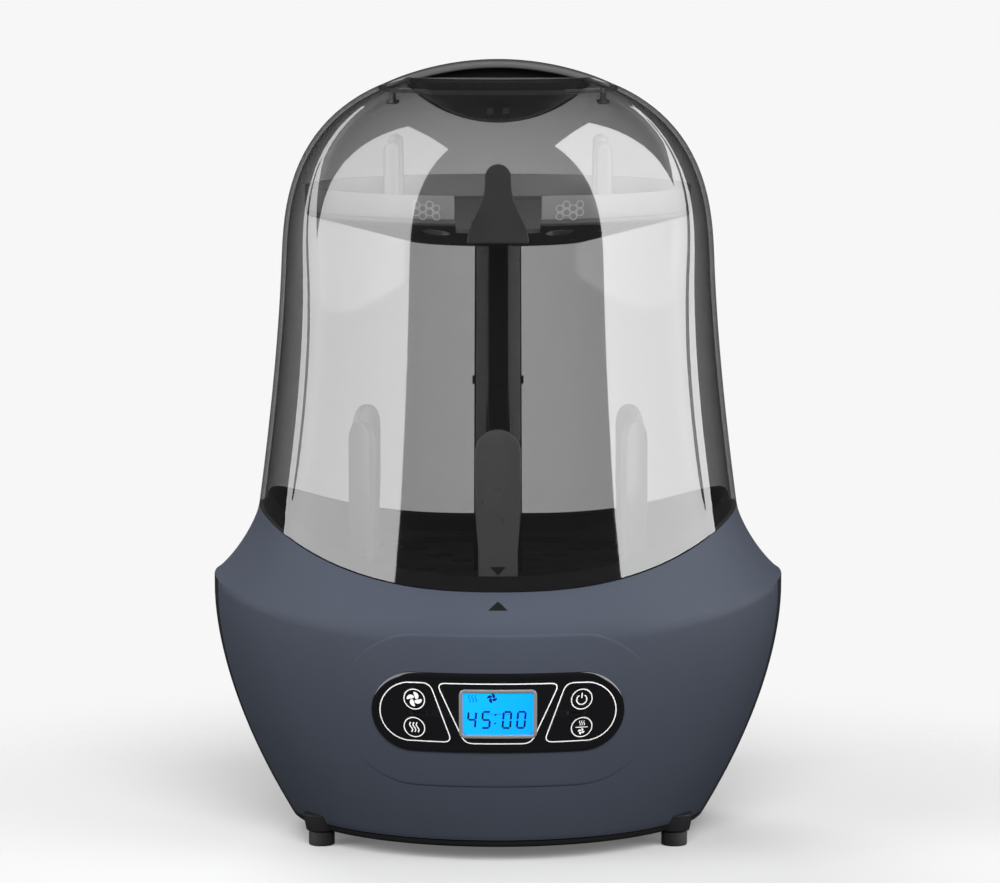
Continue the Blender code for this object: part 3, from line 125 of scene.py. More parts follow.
DRIFT_CELLS = 22.0      # noise cells per metre: a colour's slow drift
GLOSS_CELLS = 55.0      # uneven gloss
STREAK_CELLS = 14.0     # faint streaks in clear plastic
INK_CELLS = 260.0       # patches of ink
DOT_CELLS = 4000.0      # the screen's dots
GRAIN_DEPTH = 0.0001


def node_graph(name):
    material = bpy.data.materials.new(name)
    material.use_nodes = True
    tree = material.node_tree
    return material, tree, tree.nodes["Principled BSDF"]


def wired(tree, node, values):
    """Sets a node's inputs, each to a constant or another node's output. A colour may be one grey level."""
    for key, value in values.items():
        socket = node.inputs[key]
        if isinstance(value, bpy.types.NodeSocket):
            tree.links.new(value, socket)
        elif socket.type == "RGBA":
            socket.default_value = (*(value if isinstance(value, tuple) else (value,) * 3), 1)
        else:
            socket.default_value = value
    return node


def added(tree, kind, values):
    return wired(tree, tree.nodes.new(kind), values)


def own_place(tree, stretch=(1, 1, 1), offset=(0, 0, 0)):
    """A place in the object's own metres, stretched and moved."""
    place = tree.nodes.new("ShaderNodeTexCoord").outputs["Object"]
    values = {"Vector": place, "Scale": stretch, "Location": offset}
    return added(tree, "ShaderNodeMapping", values).outputs["Vector"]


def noise_at(tree, scale, detail=2.0, stretch=(1, 1, 1)):
    values = {"Vector": own_place(tree, stretch), "Scale": scale, "Detail": detail}
    return added(tree, "ShaderNodeTexNoise", values).outputs["Fac"]


def between(tree, factor, low, high):
    """The factor's usual span, 0.3 to 0.7, mapped to low..high."""
    values = {"Value": factor, "From Min": 0.3, "From Max": 0.7, "To Min": low, "To Max": high}
    return added(tree, "ShaderNodeMapRange", values).outputs["Result"]


def mixed_color(tree, factor, first, second, blend_type="MIX"):
    node = tree.nodes.new("ShaderNodeMix")
    node.data_type = "RGBA"
    node.blend_type = blend_type
    return wired(tree, node, {"Factor": factor, "A": first, "B": second}).outputs["Result"]


def bumped(tree, height, strength, distance):
    values = {"Height": height, "Strength": strength, "Distance": distance}
    return added(tree, "ShaderNodeBump", values).outputs["Normal"]


def computed(tree, operation, *values):
    node = tree.nodes.new("ShaderNodeMath")
    node.operation = operation
    return wired(tree, node, dict(enumerate(values))).outputs["Value"]


def mixed_shader(tree, share, first, second):
    """Two shaders mixed. The share is the second's."""
    values = {"Fac": share, 1: first.outputs[0], 2: second.outputs[0]}
    return added(tree, "ShaderNodeMixShader", values)


def show(tree, shader):
    tree.links.new(shader.outputs[0], tree.nodes["Material Output"].inputs["Surface"])


def scaled(color, factor):
    return tuple(channel * factor for channel in color)


def moulded(name, color, roughness, grain=900.0, relief=0.15, uneven=0.06, coat=0.0, metallic=0.0,
            variation=0.10, stretch=(1, 1, 1), specular=0.5):
    """Moulded plastic, rubber or metal: fine grain, slow colour drift and uneven gloss."""
    material, tree, shader = node_graph(name)
    drift = between(tree, noise_at(tree, DRIFT_CELLS), 0.0, 1.0)
    darker, lighter = scaled(color, 1 - variation / 2), scaled(color, 1 + variation / 2)
    gloss = noise_at(tree, GLOSS_CELLS, 3.0, stretch)
    wired(tree, shader, {
        "Base Color": mixed_color(tree, drift, darker, lighter),
        "Roughness": between(tree, gloss, roughness - uneven / 2, roughness + uneven / 2),
        "Normal": bumped(tree, noise_at(tree, grain, 2.0, stretch), relief, GRAIN_DEPTH),
        "Metallic": metallic,
        "Coat Weight": coat,
        "Coat Roughness": 0.08,
        "Specular IOR Level": specular,
    })
    return material


def clear_plastic(name, face_tint, edge_tint, shine, roughness, haze=0.0, haze_color=0.2):
    """Thin clear or smoky plastic: light passes straight through, tinted more at a slant,
    and more of it is mirrored towards the edges. Haze mixes in a little scattering plastic."""
    material, tree, shader = node_graph(name)
    facing = added(tree, "ShaderNodeLayerWeight", {"Blend": 0.5}).outputs["Facing"]
    streaks = noise_at(tree, STREAK_CELLS, 2.0, (1, 1, 0.35))
    tint = mixed_color(tree, facing, face_tint, edge_tint)
    streaky = mixed_color(tree, between(tree, streaks, 0, 1), 0.985, 1.0)
    passing = mixed_color(tree, 1.0, tint, streaky, "MULTIPLY")
    body = added(tree, "ShaderNodeBsdfTransparent", {"Color": passing})
    gloss = between(tree, streaks, roughness * 0.8, roughness * 1.2)
    mirror = added(tree, "ShaderNodeBsdfGlossy", {"Roughness": gloss})
    rise = computed(tree, "POWER", facing, 5)
    mirrored = computed(tree, "MULTIPLY_ADD", rise, 0.75 * (1 - shine), shine)
    if haze:
        wired(tree, shader, {"Base Color": haze_color, "Roughness": 0.45})
        body = mixed_shader(tree, haze, body, shader)
    show(tree, mixed_shader(tree, mirrored, body, mirror))
    return material


def printed(name, color, glow=0.0):
    """Paint or ink in a thin, slightly uneven layer, which may glow: on the screen the glow is its
    backlight, elsewhere it is painted light.
    """
    material, tree, shader = node_graph(name)
    patches = between(tree, noise_at(tree, INK_CELLS, 3.0), 0.0, 1.0)
    ink = mixed_color(tree, patches, scaled(color, 0.88), color)
    wired(tree, shader, {"Base Color": ink, "Roughness": 0.4})
    if glow:
        wired(tree, shader, {"Emission Color": ink, "Emission Strength": glow})
    return material


def liquid_crystal(name):
    """A backlit screen: a fine dot grid, brighter towards its lower left."""
    material, tree, shader = node_graph(name)
    slope = own_place(tree, (16, 0, -16), (0.5, 0, 1.7))
    fade = added(tree, "ShaderNodeTexGradient", {"Vector": slope}).outputs["Fac"]
    glow = mixed_color(tree, fade, (0.004, 0.30, 1.0), (0.002, 0.22, 0.80))
    wired(tree, shader, {
        "Base Color": glow,
        "Emission Color": glow,
        "Emission Strength": 0.72,
        "Roughness": 0.12,
        "Normal": bumped(tree, noise_at(tree, DOT_CELLS), 0.05, GRAIN_DEPTH / 2),
    })
    return material


SLATE = moulded("slate_plastic", (0.046, 0.053, 0.070), 0.50, 1400.0, 0.10, 0.05, variation=0.05,
                specular=0.06)
BLACK = moulded("black_plastic", (0.013, 0.013, 0.014), 0.50, 1100.0, 0.18, 0.08, specular=0.08)
INNER = moulded("inner_plastic", (0.028, 0.028, 0.030), 0.50, 700.0, 0.25, 0.08)
PIANO = moulded("panel_gloss", (0.004, 0.004, 0.005), 0.12, 300.0, 0.015, 0.03, 0.8)
STEEL = moulded("plate_steel", (0.52, 0.52, 0.53), 0.30, 260.0, 0.20, 0.10, metallic=1.0, stretch=(1, 12, 1))
SILVER = moulded("screen_frame", (0.42, 0.43, 0.42), 0.34, 900.0, 0.08, 0.06, metallic=0.6)
RUBBER = moulded("foot_rubber", (0.014, 0.014, 0.015), 0.72, 1500.0, 0.35, 0.08)
SILICONE = moulded("seal_silicone", (0.55, 0.55, 0.54), 0.55, 800.0, 0.20, 0.06)
BOARD = moulded("circuit_board", (0.015, 0.15, 0.05), 0.45, 420.0, 0.30, 0.10, variation=0.25)
PAPER = moulded("filter_paper", (0.78, 0.78, 0.74), 0.90, 1800.0, 0.80, 0.05)
HANDLE_SHADE = moulded("handle_plastic", (0.070, 0.070, 0.072), 0.22, 700.0, 0.04, 0.05, 0.5)
TOWER_SHADE = moulded("tower_plastic", (0.008, 0.008, 0.009), 0.22, 500.0, 0.05, 0.06, 0.1, specular=0.35)
PADDLE = moulded("paddle_plastic", (0.10, 0.10, 0.10), 0.30, 600.0, 0.06, 0.06, 0.3)
TONGUE_GREY = moulded("tongue_plastic", (0.060, 0.060, 0.061), 0.35, 700.0, 0.12, 0.06, 0.2)
SMOKE = clear_plastic("smoky_dome", 0.80, 0.60, 0.155, 0.035)
SMOKE_BACK = clear_plastic("smoky_dome_inside", 0.80, 0.60, 0.010, 0.05)
EDGE = clear_plastic("smoky_dome_edge", 0.55, 0.42, 0.08, 0.08, 0.55, (0.16, 0.16, 0.17))
TINTED = clear_plastic("tinted_plastic", 0.60, 0.35, 0.05, 0.08, 0.60, (0.085, 0.085, 0.086))
RACK_CLEAR = clear_plastic("rack_plastic", 0.80, 0.60, 0.05, 0.12, 0.70, 0.55)
RACK_DARK = clear_plastic("rack_floor", 0.66, 0.42, 0.04, 0.12, 0.75, 0.22)
# White print, with a faint glow that is painted light: it lifts the print above what the lamps give it.
WHITE_INK_WITH_PAINTED_GLOW = printed("white_print_with_painted_glow", (0.78, 0.78, 0.76), 0.10)
BLACK_INK = printed("black_print", (0.004, 0.004, 0.004))
SEGMENT_INK = printed("screen_segments", (0.004, 0.012, 0.060))
FAINT_INK = printed("screen_faint", (0.002, 0.13, 0.50), 0.35)
# Faintly glowing white lines: a painted highlight where the band's raised hexagons would catch the light.
HONEYCOMB_HIGHLIGHT = printed("honeycomb_painted_highlight", (0.80, 0.80, 0.80), 0.1)
SCREEN = liquid_crystal("screen")

# ---------------------------------------------------------------- mesh helpers


def spread(start, end, count):
    """Evenly spaced values from start to end, both included."""
    return [start + (end - start) * i / (count - 1) for i in range(count)]


def circle(steps):
    """Evenly spaced angles round a circle."""
    return [2 * math.pi * i / steps for i in range(steps)]


def smooth_step(value):
    value = min(1.0, max(0.0, value))
    return value * value * (3 - 2 * value)


def around(azimuth, r, z):
    return Vector((r * math.sin(azimuth), -r * math.cos(azimuth), z))


def in_scene(name, data):
    obj = bpy.data.objects.new(name, data)
    bpy.context.scene.collection.objects.link(obj)
    return obj


def belongs(piece, body, replaced=None):
    """Puts a piece on a body and, where one is named, in a CAD node's place."""
    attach(piece, body)
    if replaced:
        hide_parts(replaced)


def smoothed(mesh, sharp):
    """Shades a mesh smooth, but for edges sharper than an angle."""
    mesh.shade_smooth()
    mesh.set_sharp_from_angle(angle=math.radians(sharp))


def as_piece(name, bm, materials, sharp=40):
    """Makes an object of a bmesh, facing out."""
    bmesh.ops.remove_doubles(bm, verts=bm.verts, dist=1e-7)
    bmesh.ops.recalc_face_normals(bm, faces=bm.faces)
    mesh = bpy.data.meshes.new(name)
    bm.to_mesh(mesh)
    bm.free()
    for material in materials:
        mesh.materials.append(material)
    smoothed(mesh, sharp)
    return in_scene(name, mesh)


def stitched(bm, rows, close_rows=False, close_columns=False, slots=None):
    """A sheet of quads through rows of points. slots gives a row's material index."""
    made = [[bm.verts.new(point) for point in row] for row in rows]
    for i in range(len(made) if close_rows else len(made) - 1):
        row, following = made[i], made[(i + 1) % len(made)]
        for j in range(len(row) if close_columns else len(row) - 1):
            k = (j + 1) % len(row)
            face = bm.faces.new((row[j], row[k], following[k], following[j]))
            face.material_index = slots[i] if slots else 0
    return made


def grid(name, rows, materials, close_rows=False, close_columns=False, slots=None, sharp=40):
    bm = bmesh.new()
    stitched(bm, rows, close_rows, close_columns, slots)
    return as_piece(name, bm, materials, sharp)


def lathe(name, profile, materials, steps=96, at=(0, 0, 0), closed=False, sharp=40, slots=None):
    """Turns a (radius, height) profile about an upright axis."""
    rows = [[around(a, r, z) + Vector(at) for a in circle(steps)] for r, z in profile]
    return grid(name, rows, materials, closed, True, slots, sharp)


def turned(place, profile, steps):
    """Rows of points: a (radius, depth) profile turned about a place's Y axis."""
    return [[place @ Vector((r * math.cos(a), y, r * math.sin(a))) for a in circle(steps)]
            for r, y in profile]


def prism(name, outline, front, back, materials):
    """An outline of (x, z) points, extruded from y = front to y = back."""
    bm = bmesh.new()
    near, far = ([bm.verts.new((x, y, z)) for x, z in outline] for y in (front, back))
    bm.faces.new(near)
    bm.faces.new(far[::-1])
    for i in range(len(near)):
        j = (i + 1) % len(near)
        bm.faces.new((near[i], far[i], far[j], near[j]))
    return as_piece(name, bm, materials)


def modified(obj, kind, **values):
    """Bakes one modifier into an object's mesh."""
    modifier = obj.modifiers.new("change", kind)
    for key, value in values.items():
        setattr(modifier, key, value)
    bpy.context.view_layer.update()
    mesh = bpy.data.meshes.new_from_object(obj.evaluated_get(bpy.context.evaluated_depsgraph_get()))
    obj.modifiers.clear()
    obj.data = mesh


def carved(obj, *cutters):
    """Cuts the cutters out of an object and deletes them."""
    for cutter in cutters:
        modified(obj, "BOOLEAN", operation="DIFFERENCE", object=cutter, solver="EXACT")
        bpy.data.objects.remove(cutter)
    smoothed(obj.data, 35)


def rounded(obj, width, angle=40):
    """Rounds the object's sharp edges."""
    modified(obj, "BEVEL", width=width, segments=3, limit_method="ANGLE", angle_limit=math.radians(angle),
             use_clamp_overlap=True)
    smoothed(obj.data, 50)


def thickened(obj, thickness):
    """Gives a sheet a thickness behind its outward side."""
    modified(obj, "SOLIDIFY", thickness=thickness, offset=-1, use_even_offset=True)


def filleted(corners, radius, steps=6, closed=True):
    """A polygon's corners rounded to a radius, or as much of it as its sides allow."""
    points = []
    count = len(corners)
    for i, corner in enumerate(corners):
        if not closed and i in (0, count - 1):
            points.append(tuple(corner))
            continue
        here = Vector(corner)
        before = Vector(corners[i - 1]) - here
        after = Vector(corners[(i + 1) % count]) - here
        reach = min(radius, 0.48 * before.length, 0.48 * after.length)
        start, end = here + before.normalized() * reach, here + after.normalized() * reach
        for t in spread(0, 1, steps):
            points.append(tuple(start * (1 - t) ** 2 + here * 2 * t * (1 - t) + end * t**2))
    return points


def stadium(length, height, inset=0.0, steps=20, along=36):
    """A bar with round ends about (0, 0), as (x, z) points, counter-clockwise from its lower right."""
    straight = (length - height) / 2
    radius = height / 2 - inset
    points = []
    for side in (1, -1):
        for angle in spread(-math.pi / 2, math.pi / 2, steps + 1):
            points.append((side * (straight + radius * math.cos(angle)), side * radius * math.sin(angle)))
        points += [(side * x, side * radius) for x in spread(straight, -straight, along + 1)[1:-1]]
    return points


def rounded_rectangle(half_width, half_height, radius, inset=0.0, steps=6, along=1):
    """The same for a rectangle with round corners."""
    w, h = half_width - inset, half_height - inset
    r = max(radius - inset, 0.0)
    corners = [arc((sx * (w - r), sz * (h - r)), r, first, first + 90, steps + 1)
               for sx, sz, first in ((1, -1, -90), (1, 1, 0), (-1, 1, 90), (-1, -1, 180))]
    points = []
    for corner, following in zip(corners, corners[1:] + corners[:1]):
        points += corner
        start, end = Vector(corner[-1]), Vector(following[0])
        points += [tuple(start.lerp(end, i / along)) for i in range(1, along)]
    return points


def arc(center, radius, first, last, count=24):
    """Points on an arc between two angles in degrees."""
    return [(center[0] + radius * math.cos(math.radians(t)), center[1] + radius * math.sin(math.radians(t)))
            for t in spread(first, last, count)]


# ---------------------------------------------------------------- the shapes of the shells


def saddle(x, front_z, rise, half_width):
    return front_z + rise * (min(abs(x) / half_width, 1.2)) ** SADDLE_POWER


def dome_radius(z):
    below = DOME_FLARE_TOP_Z - z
    flare = (below + math.hypot(below, 0.03)) / 2 / (DOME_FLARE_TOP_Z - SEAM_FRONT_Z)
    barrel = DOME_BARREL_R + DOME_FLARE * flare**1.5
    crown = max(0.0, (z - DOME_CROWN_Z) / (DOME_APEX_Z - DOME_CROWN_Z))
    return barrel * (1 - crown**DOME_CROWN_POWER) ** (1 / DOME_CROWN_POWER)


def dome_height(radius):
    """The crown's height at a radius, found by halving."""
    low, high = DOME_CROWN_Z, DOME_APEX_Z
    for _ in range(40):
        middle = (low + high) / 2
        if dome_radius(middle) > radius:
            low = middle
        else:
            high = middle
    return low


SEAM_SIDE_R = dome_radius(SEAM_FRONT_Z + SEAM_RISE)


def seam_height(x):
    return saddle(x, SEAM_FRONT_Z, SEAM_RISE, SEAM_SIDE_R)


def seam_point(azimuth):
    """(radius, height) of the seam at an azimuth."""
    z = SEAM_FRONT_Z
    for _ in range(12):
        z = seam_height(dome_radius(z) * math.sin(azimuth))
    return dome_radius(z), z


def bowl_radius(z):
    fullness = min(1.0, max(0.0, (z - FOOT_HEIGHT) / (BOWL_TOP_Z - FOOT_HEIGHT)))
    return BOWL_TOP_R - (BOWL_TOP_R - BOWL_BOTTOM_R) * (1 - fullness) ** BOWL_CURVE


def plan_factor(azimuth):
    return 1 / math.hypot(math.sin(azimuth), math.cos(azimuth) / PLAN_RATIO)


def shoulder_height(x):
    return saddle(x, SHOULDER_FRONT_Z, SHOULDER_RISE, BOWL_TOP_R)


def shoulder_point(azimuth):
    z = SHOULDER_FRONT_Z
    for _ in range(6):
        radius = bowl_radius(z) * plan_factor(azimuth)
        z = shoulder_height(radius * math.sin(azimuth))
    return bowl_radius(z) * plan_factor(azimuth), z


def skirt_point(azimuth, v):
    """A place on the skirt, from the seam (v = 0) to the shoulder (v = 1)."""
    seam_r, seam_z = seam_point(azimuth)
    end_r, end_z = shoulder_point(azimuth)
    side = math.sin(azimuth) ** 2
    height = (1 - v ** (1.2 - 0.45 * side)) ** (0.55 + 0.65 * side)
    return seam_r + (end_r - seam_r) * v, end_z + (seam_z - end_z) * height


def front_y(x, z):
    """Where the base's front is, at a place beside the middle."""
    azimuth = math.asin(x / (bowl_radius(z) * PLAN_RATIO))
    return -bowl_radius(z) * plan_factor(azimuth) * math.cos(azimuth)


def on_front(x, z, out=0.0):
    """A place on the base's front, moved out along the face's normal."""
    step = 0.001
    across = Vector((2 * step, front_y(x + step, z) - front_y(x - step, z), 0))
    up = Vector((0, front_y(x, z + step) - front_y(x, z - step), 2 * step))
    return Vector((x, front_y(x, z), z)) + across.cross(up).normalized() * out


# ---------------------------------------------------------------- the dome

SEAM_GAP = 0.0004
WINDOW_INSET = 0.0016   # the front and back windows lie this far inside the side bands
CREASE_OFFSETS = (-0.0011, -0.0006, -0.0002, 0.0002, 0.0006, 0.0011)


def crease_reach(z):
    """How far in front of the middle the crease runs, between a window and a side band."""
    t = min(1.0, max(0.0, (z - 0.165) / 0.227))
    return 0.030 + 0.034 * (1 - t**2.6)


def dome_places():
    """Marks round a quarter of the dome: a share of the window, an offset from the crease in metres,
    or a share of the side band."""
    window = [("window", t) for t in spread(0, 1, 17)[:-1]]
    crease = [("crease", offset) for offset in CREASE_OFFSETS]
    band = [("band", t) for t in spread(0, 1, 10)[1:]]
    return window + crease + band


def dome_azimuth(place, z):
    kind, value = place
    crease = math.acos(crease_reach(z) / dome_radius(z))
    width = CREASE_OFFSETS[-1] / dome_radius(z)
    if kind == "window":
        return value * (crease - width * 1.6)
    if kind == "crease":
        return crease + value / dome_radius(z)
    return crease + width + (math.pi / 2 - crease - width) * value


def dome_inset(place, z, seam_z):
    kind, value = place
    if kind == "band":
        return 0.0
    depth = WINDOW_INSET * (0.35 + 0.65 * smooth_step((z - seam_z) / 0.030))
    if kind == "window":
        return depth
    reach = CREASE_OFFSETS[-1]
    return depth * (1 - smooth_step((value + reach) / (2 * reach)))


def dome_column(place, quarter, heights):
    """One upright line of the dome's outside and inside, from the seam up, in one of the four quarters."""
    top_z = dome_height(DOME_OPENING_R)
    outer, inner = [], []
    for share in heights:
        z = SEAM_FRONT_Z + share * (top_z - SEAM_FRONT_Z)
        for _ in range(4):
            azimuth = dome_azimuth(place, z)
            seam_z = seam_point(azimuth)[1] + SEAM_GAP
            z = seam_z + share * (top_z - seam_z)
        r = dome_radius(z) - dome_inset(place, z, seam_z)
        step = 0.0008
        lean = math.atan2(dome_radius(z - step) - dome_radius(z + step), 2 * step)
        full = (azimuth, math.pi - azimuth, math.pi + azimuth, 2 * math.pi - azimuth)[quarter]
        outer.append(around(full, r, z))
        inner.append(around(full, r - DOME_WALL * math.cos(lean), z - DOME_WALL * math.sin(lean)))
    return outer, inner


def make_dome():
    crown_share = (DOME_CROWN_Z - SEAM_FRONT_Z) / (dome_height(DOME_OPENING_R) - SEAM_FRONT_Z)
    body = spread(0, crown_share, 22)[:-1]
    crown = [crown_share + (1 - crown_share) * math.sin(t) for t in spread(0, math.pi / 2, 22)]
    heights = body + crown
    places = dome_places()
    columns = []
    for quarter in range(4):
        order = places if quarter % 2 == 0 else places[::-1]
        columns += [dome_column(place, quarter, heights) for place in order[:-1]]
    count = len(heights)
    rows = [[outer[i] for outer, _ in columns] for i in range(count)]
    rows += [[inner[i] for _, inner in columns] for i in reversed(range(count))]
    slots = [0] * (count - 1) + [2] + [1] * (count - 1) + [2]
    dome = grid("dome_shell", rows, [SMOKE, SMOKE_BACK, EDGE], True, True, slots, 60)
    belongs(dome, "lid", "lid_dome")


def dome_surface(x, z, out):
    """A place in front of the dome's front window."""
    r = dome_radius(z) - WINDOW_INSET * 0.6 + out
    return Vector((x, -math.sqrt(r**2 - x**2), z))


def make_dome_mark():
    """The small dark triangle on the dome that lines up with the one on the base."""
    top, bottom, half = 0.1530, 0.1487, 0.0040
    rows = []
    for t in spread(0, 1, 5):
        z = top + (bottom - top) * t
        rows.append([dome_surface(half * (1 - t) * s, z, 0.0008) for s in spread(-1, 1, 5)])
    mark = grid("lid_mark", rows, [BLACK_INK])
    belongs(mark, "lid")


# ---------------------------------------------------------------- the finger well and the handle


HANDLE_CROWN = 0.0007   # the strap's sides are this much lower than its middle line
HANDLE_END = 0.012      # the length over which its ends narrow
HANDLE_WAIST = 0.0015   # how much narrower it gets before that
# Half the thickness of the black sheet that fills the space under the strap, down to the well's rim.
UNDER_FILL_HALF = 0.0016


def well_line(count, sink=0.0):
    """The dish's arc from its rim to its middle, or one a wall deeper."""
    rim_z = dome_height(WELL_R)
    depth = rim_z - WELL_BOTTOM_Z
    radius = (WELL_R**2 + depth**2) / (2 * depth)
    half = math.asin(WELL_R / radius)
    center_z = WELL_BOTTOM_Z + radius
    radius += sink
    return [(radius * math.sin(t), center_z - radius * math.cos(t)) for t in spread(half, 0, count)]


def make_well():
    """The dished insert in the dome's opening, with a rolled rim and two vent slots."""
    rim_z = dome_height(WELL_R)
    bowl = well_line(22)
    under = well_line(18, WELL_WALL)
    rim = [(WELL_R + 0.0006, rim_z + 0.0002), (WELL_R + 0.0016, rim_z + 0.0001)]
    flush = [(r, dome_height(r)) for r in spread(WELL_R + 0.003, DOME_OPENING_R - 0.0008, 10)]
    skirt = [(r - 0.0004, dome_height(r) - WELL_WALL) for r in (DOME_OPENING_R - 0.0008, WELL_R + 0.004)]
    profile = bowl[::-1] + rim + flush + skirt + under
    profile[0] = (0, WELL_BOTTOM_Z)
    profile[-1] = (0, WELL_BOTTOM_Z - WELL_WALL)
    dark = len(bowl) + 1
    slots = [0] * dark + [1] * (len(rim + flush + skirt) - 1) + [0] * len(under)
    well = lathe("finger_well", profile, [TINTED, SMOKE_BACK], 128, sharp=50, slots=slots)
    cutters = []
    for side in (1, -1):
        outline = rounded_rectangle(0.0015, 0.02, 0.0014)
        moved = [(side * 0.004 + x, 0.37 + z) for x, z in outline]
        cutters.append(prism(f"slot_{side + 2}", moved, -0.033, -0.019, []))
    carved(well, *cutters)
    belongs(well, "lid", "lid_vent_cup")


def make_handle():
    """The arched strap over the well, which ends flush on the dome's top, and a thin black sheet under it
    that fills the space down to the well's rim.
    """
    rise = HANDLE_TOP_Z - dome_height(HANDLE_HALF_LENGTH) - SEAM_GAP
    radius = (HANDLE_HALF_LENGTH**2 + rise**2) / (2 * rise)
    center_z = HANDLE_TOP_Z - radius
    rows = []
    for x in [HANDLE_HALF_LENGTH * math.sin(t) for t in spread(-math.pi / 2, math.pi / 2, 65)]:
        top = center_z + math.sqrt(radius**2 - x**2)
        near_end = max(0.0, (abs(x) - HANDLE_HALF_LENGTH + HANDLE_END) / HANDLE_END)
        half = HANDLE_HALF_WIDTH * (0.55 + 0.45 * math.sqrt(max(0.0, 1 - near_end**2)))
        half -= HANDLE_WAIST * (x / HANDLE_HALF_LENGTH) ** 2
        thick = HANDLE_THICKNESS * (1 - 0.25 * near_end)
        middle = top - thick / 2
        section = rounded_rectangle(half, thick / 2, thick * 0.42, 0.0, 5)
        rows.append([Vector((x, y, middle + h - HANDLE_CROWN * (y / half) ** 2)) for y, h in section])
    bm = bmesh.new()
    made = stitched(bm, rows, False, True)
    bm.faces.new(made[0])
    bm.faces.new(made[-1][::-1])
    handle = as_piece("carry_handle", bm, [HANDLE_SHADE], 50)
    reach = HANDLE_HALF_LENGTH * 0.93
    xs = spread(-reach, reach, 49)
    under = [(x, center_z + math.sqrt(radius**2 - x**2) - HANDLE_THICKNESS * 0.6) for x in xs]
    low_z = dome_height(WELL_R) - 0.0006
    outline = under + [(x, min(low_z, z - SEAM_GAP)) for x, z in under[::-1]]
    under_fill = prism("handle_under_fill", outline, -UNDER_FILL_HALF, UNDER_FILL_HALF, [BLACK])
    belongs(under_fill, "lid")
    belongs(handle, "lid", "lid_handle")


# ---------------------------------------------------------------- the base's shells

APRON_COLUMNS = 61
BACK_COLUMNS = 81


def apron_edge(z):
    """The azimuth where the slate front ends at its upright plane."""
    azimuth = math.radians(78)
    for _ in range(8):
        azimuth = math.acos(-APRON_PLANE_Y / (bowl_radius(z) * plan_factor(azimuth)))
    return azimuth


def shoulder_edge():
    """The same at the shoulder, whose height changes with the azimuth."""
    azimuth = math.radians(78)
    for _ in range(12):
        azimuth = math.acos(-APRON_PLANE_Y / shoulder_point(azimuth)[0])
    return azimuth


def bowl_point(azimuth, z):
    return around(azimuth, bowl_radius(z) * plan_factor(azimuth), z)


def apron_rows():
    """The bowl's front, from the shoulder down, between the two upright edges."""
    edge = shoulder_edge()
    rows = []
    for v in spread(0, 1, 34):
        row = []
        for u in spread(-1, 1, APRON_COLUMNS):
            z = shoulder_point(u * edge)[1]
            z += (LIP_TOP_Z - z) * v
            side = edge + (apron_edge(z) - edge) * smooth_step(v * 6)
            row.append(bowl_point(u * side, z))
        rows.append(row)
    return rows


def make_slate_shell():
    """The skirt that rises to the seam all round, with the apron below it in front."""
    edge = shoulder_edge()
    front = [u * edge for u in spread(-1, 1, APRON_COLUMNS)]
    ring = front + spread(edge, 2 * math.pi - edge, BACK_COLUMNS)[1:-1]
    bm = bmesh.new()
    skirt = [[around(a, *skirt_point(a, v**1.25)) for a in ring] for v in spread(0, 1, 17)]
    stitched(bm, skirt, False, True)
    stitched(bm, apron_rows())
    bmesh.ops.remove_doubles(bm, verts=bm.verts, dist=1e-5)
    shell = as_piece("slate_shell", bm, [SLATE], 50)
    thickened(shell, BASE_WALL)
    rounded(shell, 0.0007, 55)
    belongs(shell, "base", "front_shell")


APRON_DEPTH = 0.0032   # how far the housing lies behind the slate front
APRON_MIDDLE_EDGE = apron_edge(0.06)
COVER_R = 0.0973
DRAWER_GAP = 0.0008


def make_housing():
    """The black bowl behind the slate front, with a thin lip that runs under it."""
    def section(azimuth):
        folded = min(azimuth, 2 * math.pi - azimuth)
        scale = plan_factor(azimuth)
        top_z, lip_z = shoulder_point(azimuth)[1] - SEAM_GAP, LIP_TOP_Z - SEAM_GAP
        line = []
        for v in spread(0, 1, 26):
            z = lip_z + (top_z - lip_z) * (1 - v)
            beside = folded > APRON_MIDDLE_EDGE
            clear = 1.0 if beside else smooth_step((folded - apron_edge(z) + 0.010) / 0.004)
            line.append((bowl_radius(z) * scale - APRON_DEPTH * (1 - clear), z))
        rim = [(bowl_radius(z) * scale, z) for z in spread(lip_z - 0.0001, FOOT_HEIGHT + 0.0009, 5)]
        under = [((BOWL_BOTTOM_R - 0.0009) * scale, FOOT_HEIGHT), (COVER_R, FOOT_HEIGHT),
                 (COVER_R, FOOT_HEIGHT + 0.003)]
        return line + rim + under

    rows = [[around(azimuth, r, z) for r, z in section(azimuth)] for azimuth in circle(240)]
    housing = grid("black_housing", rows, [BLACK], True, False, None, 45)
    thickened(housing, BASE_WALL)
    half_width, half_height = DRAWER_HALF_WIDTH + DRAWER_GAP, DRAWER_HEIGHT / 2 + DRAWER_GAP
    opening = [(x, DRAWER_BOTTOM_Z + DRAWER_HEIGHT / 2 + z)
               for x, z in rounded_rectangle(half_width, half_height, 0.0012)]
    behind_panel = [(x, PANEL_Z + z) for x, z in stadium(PANEL_LENGTH + 0.008, PANEL_HEIGHT + 0.008)]
    carved(housing, prism("drawer_space", opening, 0.09, 0.2, []),
           prism("panel_space", behind_panel, -0.2, -0.08, []))
    belongs(housing, "base", "rear_housing")


def make_bosses():
    """The black brackets that flare from the bowl's bottom down to the feet, and the feet."""
    for i, (x, y) in enumerate((sx * FOOT_X, sy * FOOT_Y) for sy in (-1, 1) for sx in (1, -1)):
        bracket = filleted([(0, 0.0165), (0.0096, 0.0165), (0.0078, 0.0076), (0, 0.0076)], 0.0008, 4, False)
        boss = lathe(f"foot_bracket_{i + 1}", bracket, [BLACK], 40, (x, y, 0))
        belongs(boss, "base")
        pad = filleted([(0, 0.0073), (FOOT_R, 0.0073), (FOOT_R, 0.0), (0, 0.0)], 0.0009, 5, False)
        foot = lathe(f"rubber_foot_{i + 1}", pad, [RUBBER], 40, (x, y, 0))
        belongs(foot, "base", f"foot_{i + 1}")


